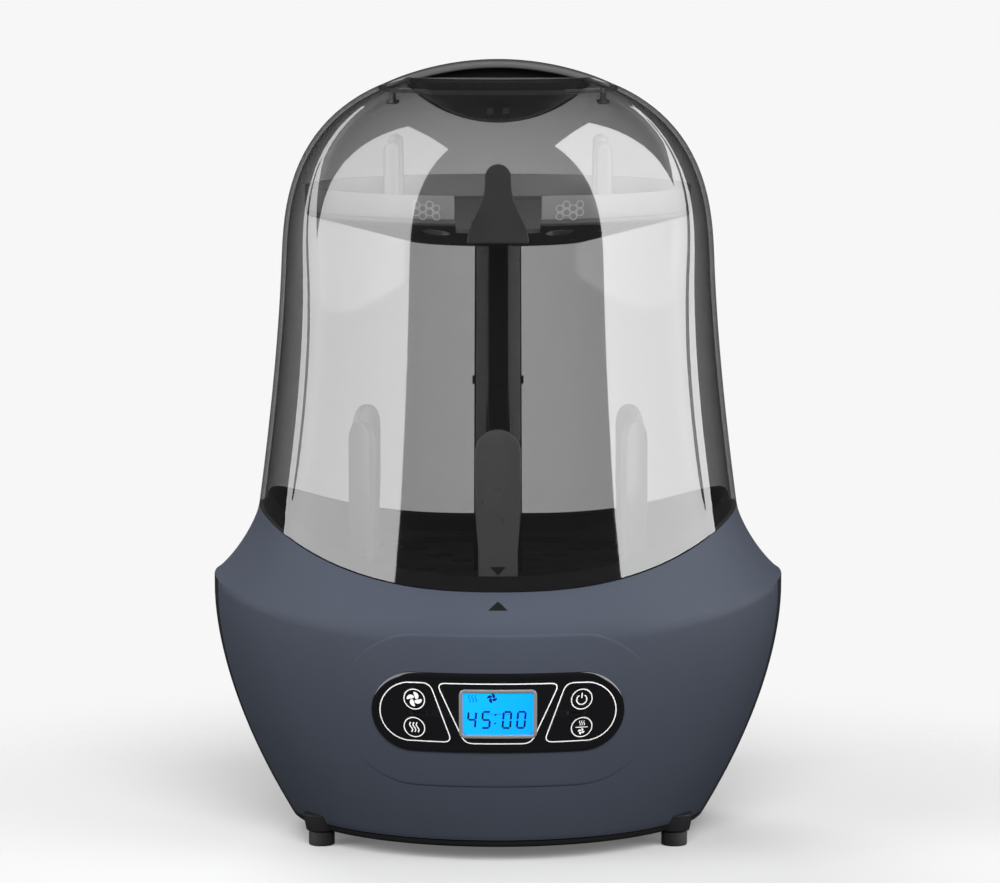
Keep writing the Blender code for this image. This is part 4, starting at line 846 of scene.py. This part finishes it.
def make_base_mark():
    """The small dark triangle on the base, under the one on the dome."""
    low, high, half = 0.60, 0.36, 0.0045
    rows = []
    for t in spread(0, 1, 5):
        v = high + (low - high) * t
        rows.append([])
        for s in spread(-1, 1, 5):
            azimuth = half * t * s / 0.13
            r, z = skirt_point(azimuth, v)
            rows[-1].append(around(azimuth, r + 0.00015, z + 0.0001))
    mark = grid("base_mark", rows, [BLACK_INK])
    belongs(mark, "base")


def front_plate(name, outline_at, profile, material, closed=False):
    """A plate that follows the base's front. The profile gives (inset, height) rows."""
    rows = [[on_front(x, PANEL_Z + z, out) for x, z in outline_at(inset)] for inset, out in profile]
    return grid(name, rows, [material], closed, True, None, 45)


def make_emboss():
    """The large raised bar round the panel, a third of a millimetre proud."""
    def outline(inset):
        return stadium(0.160, 0.0795, inset, 28)

    fill = [(inset, 0.00035) for inset in spread(0.0022, 0.0395, 14)]
    profile = [(-0.0004, -0.0004), (0.0, 0.00002), (0.0006, 0.00026), (0.0012, 0.00034), *fill]
    plate = front_plate("panel_surround", outline, profile, SLATE)
    belongs(plate, "base")


# ---------------------------------------------------------------- the control panel

BUTTON_DEPTH = 0.0055
PANEL_DEPTH = 0.0030
INK_PROUD = 0.00005
LINE_WIDTH = 0.00055
KEYS = {
    "fan_button": ("fan_key", -BUTTON_X, BUTTON_HALF_PITCH),
    "steam_button": ("steam_key", -BUTTON_X, -BUTTON_HALF_PITCH),
    "power_button": ("power_key", BUTTON_X, BUTTON_HALF_PITCH),
    "steam_dry_button": ("steam_dry_key", BUTTON_X, -BUTTON_HALF_PITCH),
}


def key_matrix(x, z):
    """A key's place on the front, with X to the right, Z up its face and -Y straight out of it."""
    step = 0.001
    across = Vector((2 * step, front_y(x + step, z) - front_y(x - step, z), 0)).normalized()
    up = Vector((0, front_y(x, z + step) - front_y(x, z - step), 2 * step))
    outward = across.cross(up).normalized()
    up = outward.cross(across).normalized()
    turn = Matrix((across, -outward, up)).transposed().to_4x4()
    return Matrix.Translation((x, front_y(x, z), z)) @ turn


def ribbon(points, width, closed=False):
    """The two edges of a flat line through (x, z) points. Its width may change along it."""
    left, right = [], []
    count = len(points)
    for i, point in enumerate(points):
        here = Vector(point)
        back = points[i - 1] if closed or i > 0 else point
        ahead = points[(i + 1) % count] if closed or i + 1 < count else point
        along = (Vector(ahead) - Vector(back)).normalized()
        here_width = width if isinstance(width, float) else width(i / (count - 1))
        side = Vector((-along.y, along.x)) * here_width / 2
        left.append(here + side)
        right.append(here - side)
    return left, right


def finer(points, closed, step=0.0015):
    """The line with points at most a step apart."""
    ends = points[1:] + points[:1] if closed else points[1:]
    made = []
    for start, end in zip(points, ends):
        a, b = Vector(start), Vector(end)
        count = max(1, math.ceil((b - a).length / step))
        made += [tuple(a.lerp(b, i / count)) for i in range(count)]
    return made if closed else made + [tuple(points[-1])]


def drawn(name, strokes, place, material):
    """Flat lines drawn on a surface: place turns an (x, z) point into a position."""
    bm = bmesh.new()
    for points, width, closed in strokes:
        points = finer(points, closed) if isinstance(width, float) else points
        left, right = ribbon(points, width, closed)
        lower = [bm.verts.new(place(p.x, p.y)) for p in left]
        upper = [bm.verts.new(place(p.x, p.y)) for p in right]
        for i in range(len(points) if closed else len(points) - 1):
            j = (i + 1) % len(points)
            bm.faces.new((lower[i], upper[i], upper[j], lower[j]))
    bmesh.ops.recalc_face_normals(bm, faces=bm.faces)
    mesh = bpy.data.meshes.new(name)
    bm.to_mesh(mesh)
    bm.free()
    mesh.materials.append(material)
    return in_scene(name, mesh)


def wave(x, bottom, top, swing, count=14):
    """One upright wisp of steam."""
    return [(x + swing * math.sin(2 * math.pi * t), bottom + (top - bottom) * t)
            for t in spread(0, 1, count)]


def fan_strokes(center, radius):
    """Four swept blades: each a short fat arc from the hub to the rim."""
    strokes = []
    for i in range(4):
        turn = math.radians(90 * i + 20)
        points = []
        for t in spread(0, 1, 9):
            angle = turn + 1.25 * t
            reach = radius * (0.20 + 0.72 * t)
            points.append((center[0] + reach * math.cos(angle), center[1] + reach * math.sin(angle)))

        def width(t, size=radius):
            return size * (0.10 + 0.46 * math.sin(math.pi * min(1, t * 0.93 + 0.05)) ** 0.8)

        strokes.append((points, width, False))
    return strokes


def icon_strokes(kind):
    ring = [(arc((0, 0), 0.0053, 0, 352.5, 48), 0.00052, True)]
    if kind == "fan_button":
        return ring + fan_strokes((0, 0), 0.0040)
    if kind == "steam_button":
        return ring + [(wave(x, -0.0027, 0.0027, 0.0006), 0.00062, False) for x in (-0.0017, 0.0, 0.0017)]
    if kind == "power_button":
        return ring + [(arc((0, -0.0002), 0.0026, 122, 418, 40), 0.00060, False),
                       ([(0, 0.0006), (0, 0.0033)], 0.00060, False)]
    waves = [(wave(x, 0.0010, 0.0036, 0.0003), 0.00035, False) for x in (-0.0011, 0.0, 0.0011)]
    bar = [([(-0.0031, 0.0), (0.0031, 0.0)], 0.00045, False)]
    return ring + waves + bar + fan_strokes((0, -0.0023), 0.0018)


def make_keys():
    for node, (body, x, dz) in KEYS.items():
        place = key_matrix(x, PANEL_Z + dz)
        top, low = -BUTTON_PROUD, BUTTON_DEPTH
        corners = [(0, top), (BUTTON_R, top), (BUTTON_R, low), (0, low)]
        rows = turned(place, filleted(corners, 0.0006, 5, False), 48)
        key = grid(node.replace("button", "key_cap"), rows, [PIANO], False, True, None, 45)
        belongs(key, body, node)

        def on_key(u, v, frame_of_key=place):
            return frame_of_key @ Vector((u, -BUTTON_PROUD - INK_PROUD, v))

        icon = drawn(node.replace("button", "icon"), icon_strokes(node), on_key, WHITE_INK_WITH_PAINTED_GLOW)
        belongs(icon, body)


def make_bezel():
    """The black gloss panel, with a rounded edge and openings for the screen and the keys."""
    def outline(inset):
        return stadium(PANEL_LENGTH, PANEL_HEIGHT, inset, 24)

    edge = [(0.0, -PANEL_DEPTH), (0.0, 0.0004), (0.0002, 0.0009), (0.0006, PANEL_PROUD)]
    edge += [(0.0013, PANEL_PROUD + 0.00035), (0.0022, PANEL_PROUD + 0.00038),
             (0.0032, PANEL_PROUD + 0.00012), (0.0042, PANEL_PROUD)]
    top = [(inset, PANEL_PROUD) for inset in spread(0.0055, PANEL_HEIGHT / 2, 9)]
    back = [(inset, -PANEL_DEPTH) for inset in reversed(spread(0.002, PANEL_HEIGHT / 2, 6))]
    bezel = front_plate("panel_bezel", outline, edge + top + back, PIANO, True)
    cutters = []
    for node, (_, x, dz) in KEYS.items():
        hole_r = BUTTON_R + 0.0003
        profile = ((0, -0.02), (hole_r, -0.02), (hole_r, 0.02), (0, 0.02))
        rows = turned(key_matrix(x, PANEL_Z + dz), profile, 48)
        cutters.append(grid(node + "_space", rows, [], False, True))
    hole = rounded_rectangle(SCREEN_WIDTH / 2 - 0.0012, SCREEN_HEIGHT / 2 - 0.0012, 0.0022)
    cutters.append(prism("screen_space", [(x, PANEL_Z + z) for x, z in hole], -0.2, -0.08, []))
    carved(bezel, *cutters)
    belongs(bezel, "base", "control_bezel")


def on_panel(x, z):
    return on_front(x, PANEL_Z + z, PANEL_PROUD + 0.00006)


def make_outlines():
    """The white printed lines round the two pairs of keys and the screen."""
    top, low = PANEL_HEIGHT / 2 - 0.0051, -(PANEL_HEIGHT / 2 - 0.0059)
    radius = (top - low) / 2
    bulge = arc((-0.0426, (top + low) / 2), radius, 96, 264, 40)
    inner = [(-0.0440, low), (-0.0225, low), (-0.0333, top), (-0.0440, top)]
    left = bulge + filleted(inner, 0.0042, 8, False)[1:-1]
    right = [(-x, z) for x, z in left]
    corners = [(-0.0300, top), (0.0300, top), (0.0162, low - 0.0006), (-0.0162, low - 0.0006)]
    middle = filleted(corners, 0.0042, 9)
    strokes = [(line, LINE_WIDTH, True) for line in (left, right, middle)]
    lines = drawn("panel_outlines", strokes, on_panel, WHITE_INK_WITH_PAINTED_GLOW)
    belongs(lines, "base")


# Which of a digit's seven bars are lit: top, upper right, lower right, bottom, lower left, upper left
# and middle.
LIT = {"0": "1111110", "4": "0110011", "5": "1011011"}


# Where the bars start and end, as shares of the digit's width and height.
BARS = (((0, 1), (1, 1)), ((1, 1), (1, 0.5)), ((1, 0.5), (1, 0)), ((0, 0), (1, 0)),
        ((0, 0.5), (0, 0)), ((0, 1), (0, 0.5)), ((0, 0.5), (1, 0.5)))
DIGIT_WIDTH = 0.0037
DIGIT_HEIGHT = 0.0084
DIGIT_LEAN = 0.08
BAR_WIDTH = 0.00095


def digit_strokes(digit, x, z):
    gap = DIGIT_HEIGHT * 0.035
    strokes = []
    for bar, lit in zip(BARS, LIT[digit]):
        if lit == "0":
            continue
        start, end = (Vector((u * DIGIT_WIDTH, v * DIGIT_HEIGHT)) for u, v in bar)
        along = (end - start).normalized() * gap
        points = [start + along, start + along * 1.6, end - along * 1.6, end - along]
        points = [(x + p.x + DIGIT_LEAN * p.y, z + p.y) for p in points]
        strokes.append((points, lambda t: BAR_WIDTH * (0.35 if t in (0.0, 1.0) else 1.0), False))
    return strokes


def make_screen():
    """The blue screen in its silver frame, with the time left and two symbols."""
    half_w, half_h = SCREEN_WIDTH / 2, SCREEN_HEIGHT / 2

    def outline(inset):
        return rounded_rectangle(half_w, half_h, 0.0026, inset, 6, 10)

    out = PANEL_PROUD
    rim = [(-0.0003, out - 0.0012), (-0.0003, out + 0.0001), (0.0, out + 0.0003), (0.0012, out + 0.0003),
           (0.0015, out), (0.0016, out - 0.0009)]
    frame_ring = front_plate("screen_frame", outline, rim, SILVER)
    fill = [(inset, out - 0.0003) for inset in spread(0.0014, half_h - 0.0001, 8)]
    glass = front_plate("screen_glass", outline, fill, SCREEN)

    def on_screen(x, z):
        return on_front(x, PANEL_Z + z, out - 0.00024)

    digits = []
    for digit, x in (("4", -0.0150), ("5", -0.0080), ("0", 0.0022), ("0", 0.0092)):
        digits += digit_strokes(digit, x, -0.0072)
    for x, z in ((-0.0014, -0.0052), (-0.0012, -0.0008)):
        digits.append(([(x, z), (x, z + 0.0008)], 0.0008, False))
    digits += fan_strokes((-0.0029, 0.0083), 0.0025)
    written = drawn("screen_digits", digits, on_screen, SEGMENT_INK)
    faint = [(wave(x, 0.0062, 0.0100, 0.0004), 0.00045, False) for x in (-0.0140, -0.0124, -0.0108)]
    wisps = drawn("screen_steam", faint, on_screen, FAINT_INK)
    for piece in (frame_ring, glass, written, wisps):
        belongs(piece, "base")
    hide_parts("screen_window")


# ---------------------------------------------------------------- inside the dome


def make_basin():
    """The black collar inside the seam, with the ledge and the pan below it."""
    def section(azimuth):
        seam_z = seam_point(azimuth)[1]
        top, low = seam_z + COLLAR_RISE, seam_z - 0.004
        wall = DOME_WALL + 0.0012
        ledge_r = TRAY_R + 0.003
        return [
            (dome_radius(top) - wall - 0.0008, top - 0.0006),
            (dome_radius(top) - wall, top - 0.0014),
            (dome_radius(low) - wall, low),
            (ledge_r + COLLAR_WALL, BASIN_LEDGE_Z - 0.0025),
            (BASIN_LEDGE_R + COLLAR_WALL, BASIN_LEDGE_Z - 0.0030),
            (BASIN_LEDGE_R + COLLAR_WALL, BASIN_FLOOR_Z),
            (PLATE_OPENING_R, BASIN_FLOOR_Z),
            (PLATE_OPENING_R, BASIN_FLOOR_Z + 0.0026),
            (BASIN_LEDGE_R, BASIN_FLOOR_Z + 0.0026),
            (BASIN_LEDGE_R, BASIN_LEDGE_Z),
            (ledge_r, BASIN_LEDGE_Z),
            (dome_radius(low) - wall - COLLAR_WALL, low + 0.0005),
            (dome_radius(top) - wall - COLLAR_WALL, top - 0.0012),
            (dome_radius(top) - wall - COLLAR_WALL + 0.0008, top - 0.0005),
            (dome_radius(top) - wall - COLLAR_WALL / 2, top),
        ]

    rows = [[around(azimuth, r, z) for r, z in section(azimuth)] for azimuth in circle(160)]
    basin = grid("water_collar", rows, [BLACK], True, True)
    belongs(basin, "base", "water_basin")


STUD_Z = 0.233


def make_tower():
    """The air column: eight flat sides with rounded corners, and small round bosses."""
    rows = []
    for z, grow in ((TOWER_BOTTOM_Z, 0.0), (0.150, 0.0), (0.230, -0.0003), (0.300, -0.0006),
                    (TOWER_TOP_Z - 0.001, -0.0006), (TOWER_TOP_Z, -0.0016)):
        corners = []
        for angle in circle(8):
            angle += math.pi / 8
            corners.append(((TOWER_R + grow) * math.cos(angle), (TOWER_R + grow) * math.sin(angle)))
        rows.append([Vector((x, y, z)) for x, y in filleted(corners, 0.0022, 5)])
    for share, z in ((0.85, TOWER_TOP_Z), (1.0, TOWER_TOP_Z + 0.006), (0.8, TOWER_TOP_Z + 0.006)):
        rows.append([Vector((p.x * share, p.y * share, z)) for p in rows[-1]])
    tower = grid("air_column", rows, [TOWER_SHADE], False, True, None, 25)
    belongs(tower, "lower_rack", "air_tower")
    boss = filleted([(0, 0.0016), (0.0022, 0.0016), (0.0022, -0.001), (0, -0.001)], 0.0005, 4, False)
    profile = [(r, -(TOWER_R * 0.92 + h * 0.5)) for r, h in boss]
    for i, azimuth in enumerate(circle(4)):
        place = Matrix.Rotation(azimuth, 4, "Z") @ Matrix.Translation((0, 0, STUD_Z))
        stud = grid(f"column_stud_{i + 1}", turned(place, profile, 20), [TOWER_SHADE], False, True)
        belongs(stud, "lower_rack")


def make_posts():
    """The upright paddles that the bottles stand over."""
    half, neck, top = 0.0115, 0.0100, 0.216
    arc_z = top - half
    round_top = [(half * math.cos(t), arc_z + half * math.sin(t)) for t in spread(0, math.pi, 25)]
    right = [(neck, TOWER_BOTTOM_Z), (neck, 0.155), (half, 0.175)]
    outline = [(-neck, TOWER_BOTTOM_Z), *right, *round_top, (-half, 0.175), (-neck, 0.155)]
    for i, azimuth in enumerate(circle(POST_COUNT)):
        post = prism(f"bottle_paddle_{i + 1}", outline, -0.0020, 0.0020, [PADDLE])
        rounded(post, 0.0009)
        place = Matrix.Translation(around(azimuth, POST_CIRCLE_R, 0))
        post.data.transform(place @ Matrix.Rotation(azimuth, 4, "Z"))
        belongs(post, "lower_rack", f"bottle_post_{i + 1}")


def make_rack():
    """The upper rack: a dished floor with holes, and a clear band round it with a gap in front."""
    floor = TOWER_TOP_Z + 0.0003
    ring_in = RACK_R - 0.002
    seat_r = 0.0118
    slope = [(RACK_R - 0.0003, RACK_RING_BOTTOM_Z + 0.0012), (RACK_R - 0.0012, RACK_RING_BOTTOM_Z),
             (RACK_DISH_R, floor), (seat_r, floor), (seat_r, floor + 0.010), (seat_r + 0.002, floor + 0.010),
             (seat_r + 0.002, floor + 0.002), (RACK_DISH_R, floor + 0.002),
             (ring_in, RACK_RING_BOTTOM_Z + 0.002), (ring_in, RACK_RING_BOTTOM_Z + 0.003),
             (RACK_R - 0.0003, RACK_RING_BOTTOM_Z + 0.003)]
    dish = lathe("rack_dish", slope, [RACK_DARK], 120, closed=True)
    cutters = []
    hole = [(0, 0.35), (0.007, 0.35), (0.007, 0.30), (0, 0.30)]
    for i, azimuth in enumerate(circle(8)):
        at = around(azimuth + math.pi / 8, RACK_R - 0.0194, 0)
        cutters.append(lathe(f"dish_hole_{i + 1}", hole, [], 32, at))
    gap = [(-RACK_GAP_HALF, 0.299), (RACK_GAP_HALF, 0.299), (RACK_GAP_HALF, 0.36), (-RACK_GAP_HALF, 0.36)]
    cutters.append(prism("front_gap", gap, -0.2, TONGUE_Y + 0.008, []))
    carved(dish, *cutters)
    first = math.asin(RACK_GAP_HALF / RACK_R) + 0.01
    section = filleted([(RACK_R - 0.0003, RACK_RING_BOTTOM_Z + 0.003), (RACK_R, RACK_RING_TOP_Z),
                        (ring_in, RACK_RING_TOP_Z), (ring_in, RACK_RING_BOTTOM_Z + 0.003)], 0.0007, 3)
    azimuths = spread(first, 2 * math.pi - first, 140)
    rows = [[around(azimuth, r, z) for r, z in section] for azimuth in azimuths]
    band = grid("rack_band", rows, [RACK_CLEAR], False, True)
    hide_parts("upper_rack_tray")
    for piece in (dish, band):
        belongs(piece, "upper_rack")
    make_honeycomb()
    for i, degrees in enumerate(PEG_AZIMUTHS):
        at = around(math.radians(degrees), PEG_CIRCLE_R, 0)
        crown = [(PEG_R * math.sin(t), PEG_TOP_Z - PEG_R + PEG_R * math.cos(t))
                 for t in spread(0, math.pi / 2, 9)]
        profile = [*crown, (PEG_R + 0.0004, 0.325), (PEG_R + 0.0016, 0.3165), (0, 0.3165)]
        peg = lathe(f"rack_peg_{i + 1}", profile, [RACK_CLEAR], 32, at, sharp=60)
        belongs(peg, "upper_rack", f"nipple_peg_{i + 1}")


def make_honeycomb():
    """A few hexagons on the band, on either side of its gap, as faintly glowing white lines: a painted
    highlight for raised hexagons.
    """
    strokes = []
    size = 0.0021
    for side in (1, -1):
        for column, row in ((0, 0), (1, 1), (2, 0), (3, 1), (0, -2), (1, -1), (2, -2), (3, -1)):
            center = (side * (0.0305 + column * size * 1.62), 0.3275 + row * size * 0.92)
            strokes.append((arc(center, size * 0.9, 0, 300, 6), 0.00035, True))

    def on_band(x, z):
        return Vector((x, -math.sqrt((RACK_R + 0.0001) ** 2 - x**2), z))

    cells = drawn("band_honeycomb", strokes, on_band, HONEYCOMB_HIGHLIGHT)
    belongs(cells, "upper_rack")


def make_tongue():
    """The bell-shaped soother holder in the rack's front gap."""
    half, neck = 0.0155, 0.0065
    top_z = TONGUE_TOP_Z - neck
    side = []
    for v in spread(0, 1, 22):
        width = neck + (half - neck) * (0.5 - 0.5 * math.cos(math.pi * v)) ** 1.4
        side.append((width, top_z + (TONGUE_BOTTOM_Z - top_z) * v))
    crown = [(neck * math.cos(t), top_z + neck * math.sin(t)) for t in spread(0, math.pi, 25)]
    outline = side[::-1] + crown[1:-1] + [(-x, z) for x, z in side]
    tongue = prism("soother_tongue", outline, TONGUE_Y - 0.0015, TONGUE_Y + 0.0015, [TONGUE_GREY])
    rounded(tongue, 0.0008)
    belongs(tongue, "upper_rack", "soother_holder")


# ---------------------------------------------------------------- the carried-over CAD nodes

CARRIED = {
    BLACK: ("bottom_cover", "lower_rack_tray", "air_outlet", "filter_drawer"),
    INNER: ("air_duct", "blower_housing", "filter_sleeve", "blower_wheel", "thermostat"),
    STEEL: ("heating_plate", "heating_element", "thermal_fuse", "air_heater", "blower_motor", "blower_shaft",
            "screen_module", *[f"{place}_screw_{i}" for place in ("bottom", "handle") for i in range(1, 5)]),
    RUBBER: ("cord_gland",),
    SILICONE: ("plate_seal", "outlet_seal"),
    BOARD: ("main_board", "display_board"),
    PAPER: ("air_filter",),
}


def dress_carried():
    for material, names in CARRIED.items():
        for name in names:
            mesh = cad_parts[name].data
            mesh.materials.clear()
            mesh.materials.append(material)


# ---------------------------------------------------------------- floor, lights and camera

TARGET = Vector((0, 0, 0.2008))
CAMERA_DISTANCE = 2.4
CAMERA_ELEVATION = math.radians(6.5)
CAMERA_LENS = 166.8
CAMERA_SHIFT = 0.002
FLOOR_FADE = 2.1       # the floor has gone at 1 / 2.1 metres from the middle
SURROUNDINGS = 0.93
SHELL_R = 8.0
DISC_SIZE = 1.6


def make_floor():
    """A pale disc that fades out to the pale surroundings, and those surroundings."""
    material, tree, shader = node_graph("floor")
    shade = mixed_color(tree, between(tree, noise_at(tree, 5.0), 0, 1), 0.50, 0.515)
    wired(tree, shader, {"Base Color": shade, "Roughness": 0.6, "Specular IOR Level": 0.1,
                         "Emission Color": 1.0, "Emission Strength": 0.13})
    near = tree.nodes.new("ShaderNodeTexGradient")
    near.gradient_type = "SPHERICAL"
    wired(tree, near, {"Vector": own_place(tree, (FLOOR_FADE,) * 3)})
    solid = added(tree, "ShaderNodeMapRange", {"Value": near.outputs["Fac"], "From Max": 0.60})
    solid.interpolation_type = "SMOOTHSTEP"
    gone = tree.nodes.new("ShaderNodeBsdfTransparent")
    show(tree, mixed_shader(tree, solid.outputs["Result"], gone, shader))
    floor = lathe("floor", [(0, 0), (0.3, 0), (0.82, 0)], [material], 64, (0, 0, -0.0001))

    material, tree, _ = node_graph("surroundings")
    show(tree, added(tree, "ShaderNodeEmission", {"Color": SURROUNDINGS}))
    outline = [(SHELL_R * math.sin(t), SHELL_R * math.cos(t)) for t in spread(0, math.pi, 33)]
    shell = lathe("surroundings", outline, [material], 64)
    shell.visible_transmission = False
    shell.visible_shadow = False
    for piece in (floor, shell):
        piece.visible_diffuse = False
        piece.visible_glossy = False


def area_light(name, shape, size, radiance, toward):
    """A lamp that faces away from a direction. Radiance times pi times its area is its power."""
    light = bpy.data.lights.new(name, "AREA")
    light.shape = shape
    light.size, light.size_y = size
    lamp = in_scene(name, light)
    lamp.rotation_euler = toward.to_track_quat("Z", "Y").to_euler()
    lamp.visible_camera = False
    area = size[0] * size[1] * (math.pi / 4 if shape == "DISK" else 1)
    light.energy = radiance * math.pi * area
    return lamp


def soft_box(name, azimuth, distance, near, far, low, high, radiance):
    """An upright lamp that only shows in reflections. near and far are its ends along its own face."""
    out = around(math.radians(azimuth), 1, 0)
    along = around(math.radians(azimuth + 90), 1, 0)
    lamp = area_light(name, "RECTANGLE", (far - near, high - low), radiance, out)
    lamp.location = out * distance + along * (near + far) / 2 + Vector((0, 0, (low + high) / 2))
    lamp.visible_diffuse = False


def soft_disc(name, place, radiance):
    """A round lamp that only lights, and doesn't show in reflections."""
    lamp = area_light(name, "DISK", (DISC_SIZE, DISC_SIZE), radiance, Vector(place) - TARGET)
    lamp.location = place
    lamp.visible_glossy = False


def make_lights():
    soft_box("left_box", -75, 1.1, -0.80, 0.61, 0.02, 2.45, 2.9)
    soft_box("right_box", 80, 1.1, -0.50, 0.86, 0.02, 2.45, 3.9)
    soft_disc("front_key", (0.25, -2.1, 1.35), 13)
    soft_disc("left_fill", (-2.0, -1.1, 0.9), 7)
    soft_disc("right_fill", (2.0, -1.1, 0.9), 6)
    soft_disc("top_fill", (0, -0.1, 2.0), 1)
    soft_disc("back_fill", (-0.8, 2.2, 1.3), 9)
    world = bpy.data.worlds.new("studio")
    bpy.context.scene.world = world
    world.use_nodes = True
    wired(world.node_tree, world.node_tree.nodes["Background"], {"Color": 0.05})


def make_camera():
    camera = bpy.data.cameras.new("camera")
    camera.lens = CAMERA_LENS
    camera.sensor_width = 36
    camera.shift_x = CAMERA_SHIFT
    camera.clip_end = 50
    obj = in_scene("camera", camera)
    back = Vector((0, -math.cos(CAMERA_ELEVATION), math.sin(CAMERA_ELEVATION)))
    obj.location = TARGET + back * CAMERA_DISTANCE
    obj.rotation_euler = back.to_track_quat("Z", "Y").to_euler()
    bpy.context.scene.camera = obj


# ---------------------------------------------------------------- assembly

bpy.context.scene.view_settings.view_transform = "Standard"
make_dome()
make_dome_mark()
make_well()
make_handle()
make_slate_shell()
make_housing()
make_bosses()
make_base_mark()
make_emboss()
make_bezel()
make_keys()
make_outlines()
make_screen()
make_basin()
make_tower()
make_posts()
make_rack()
make_tongue()
dress_carried()
make_floor()
make_lights()
make_camera()
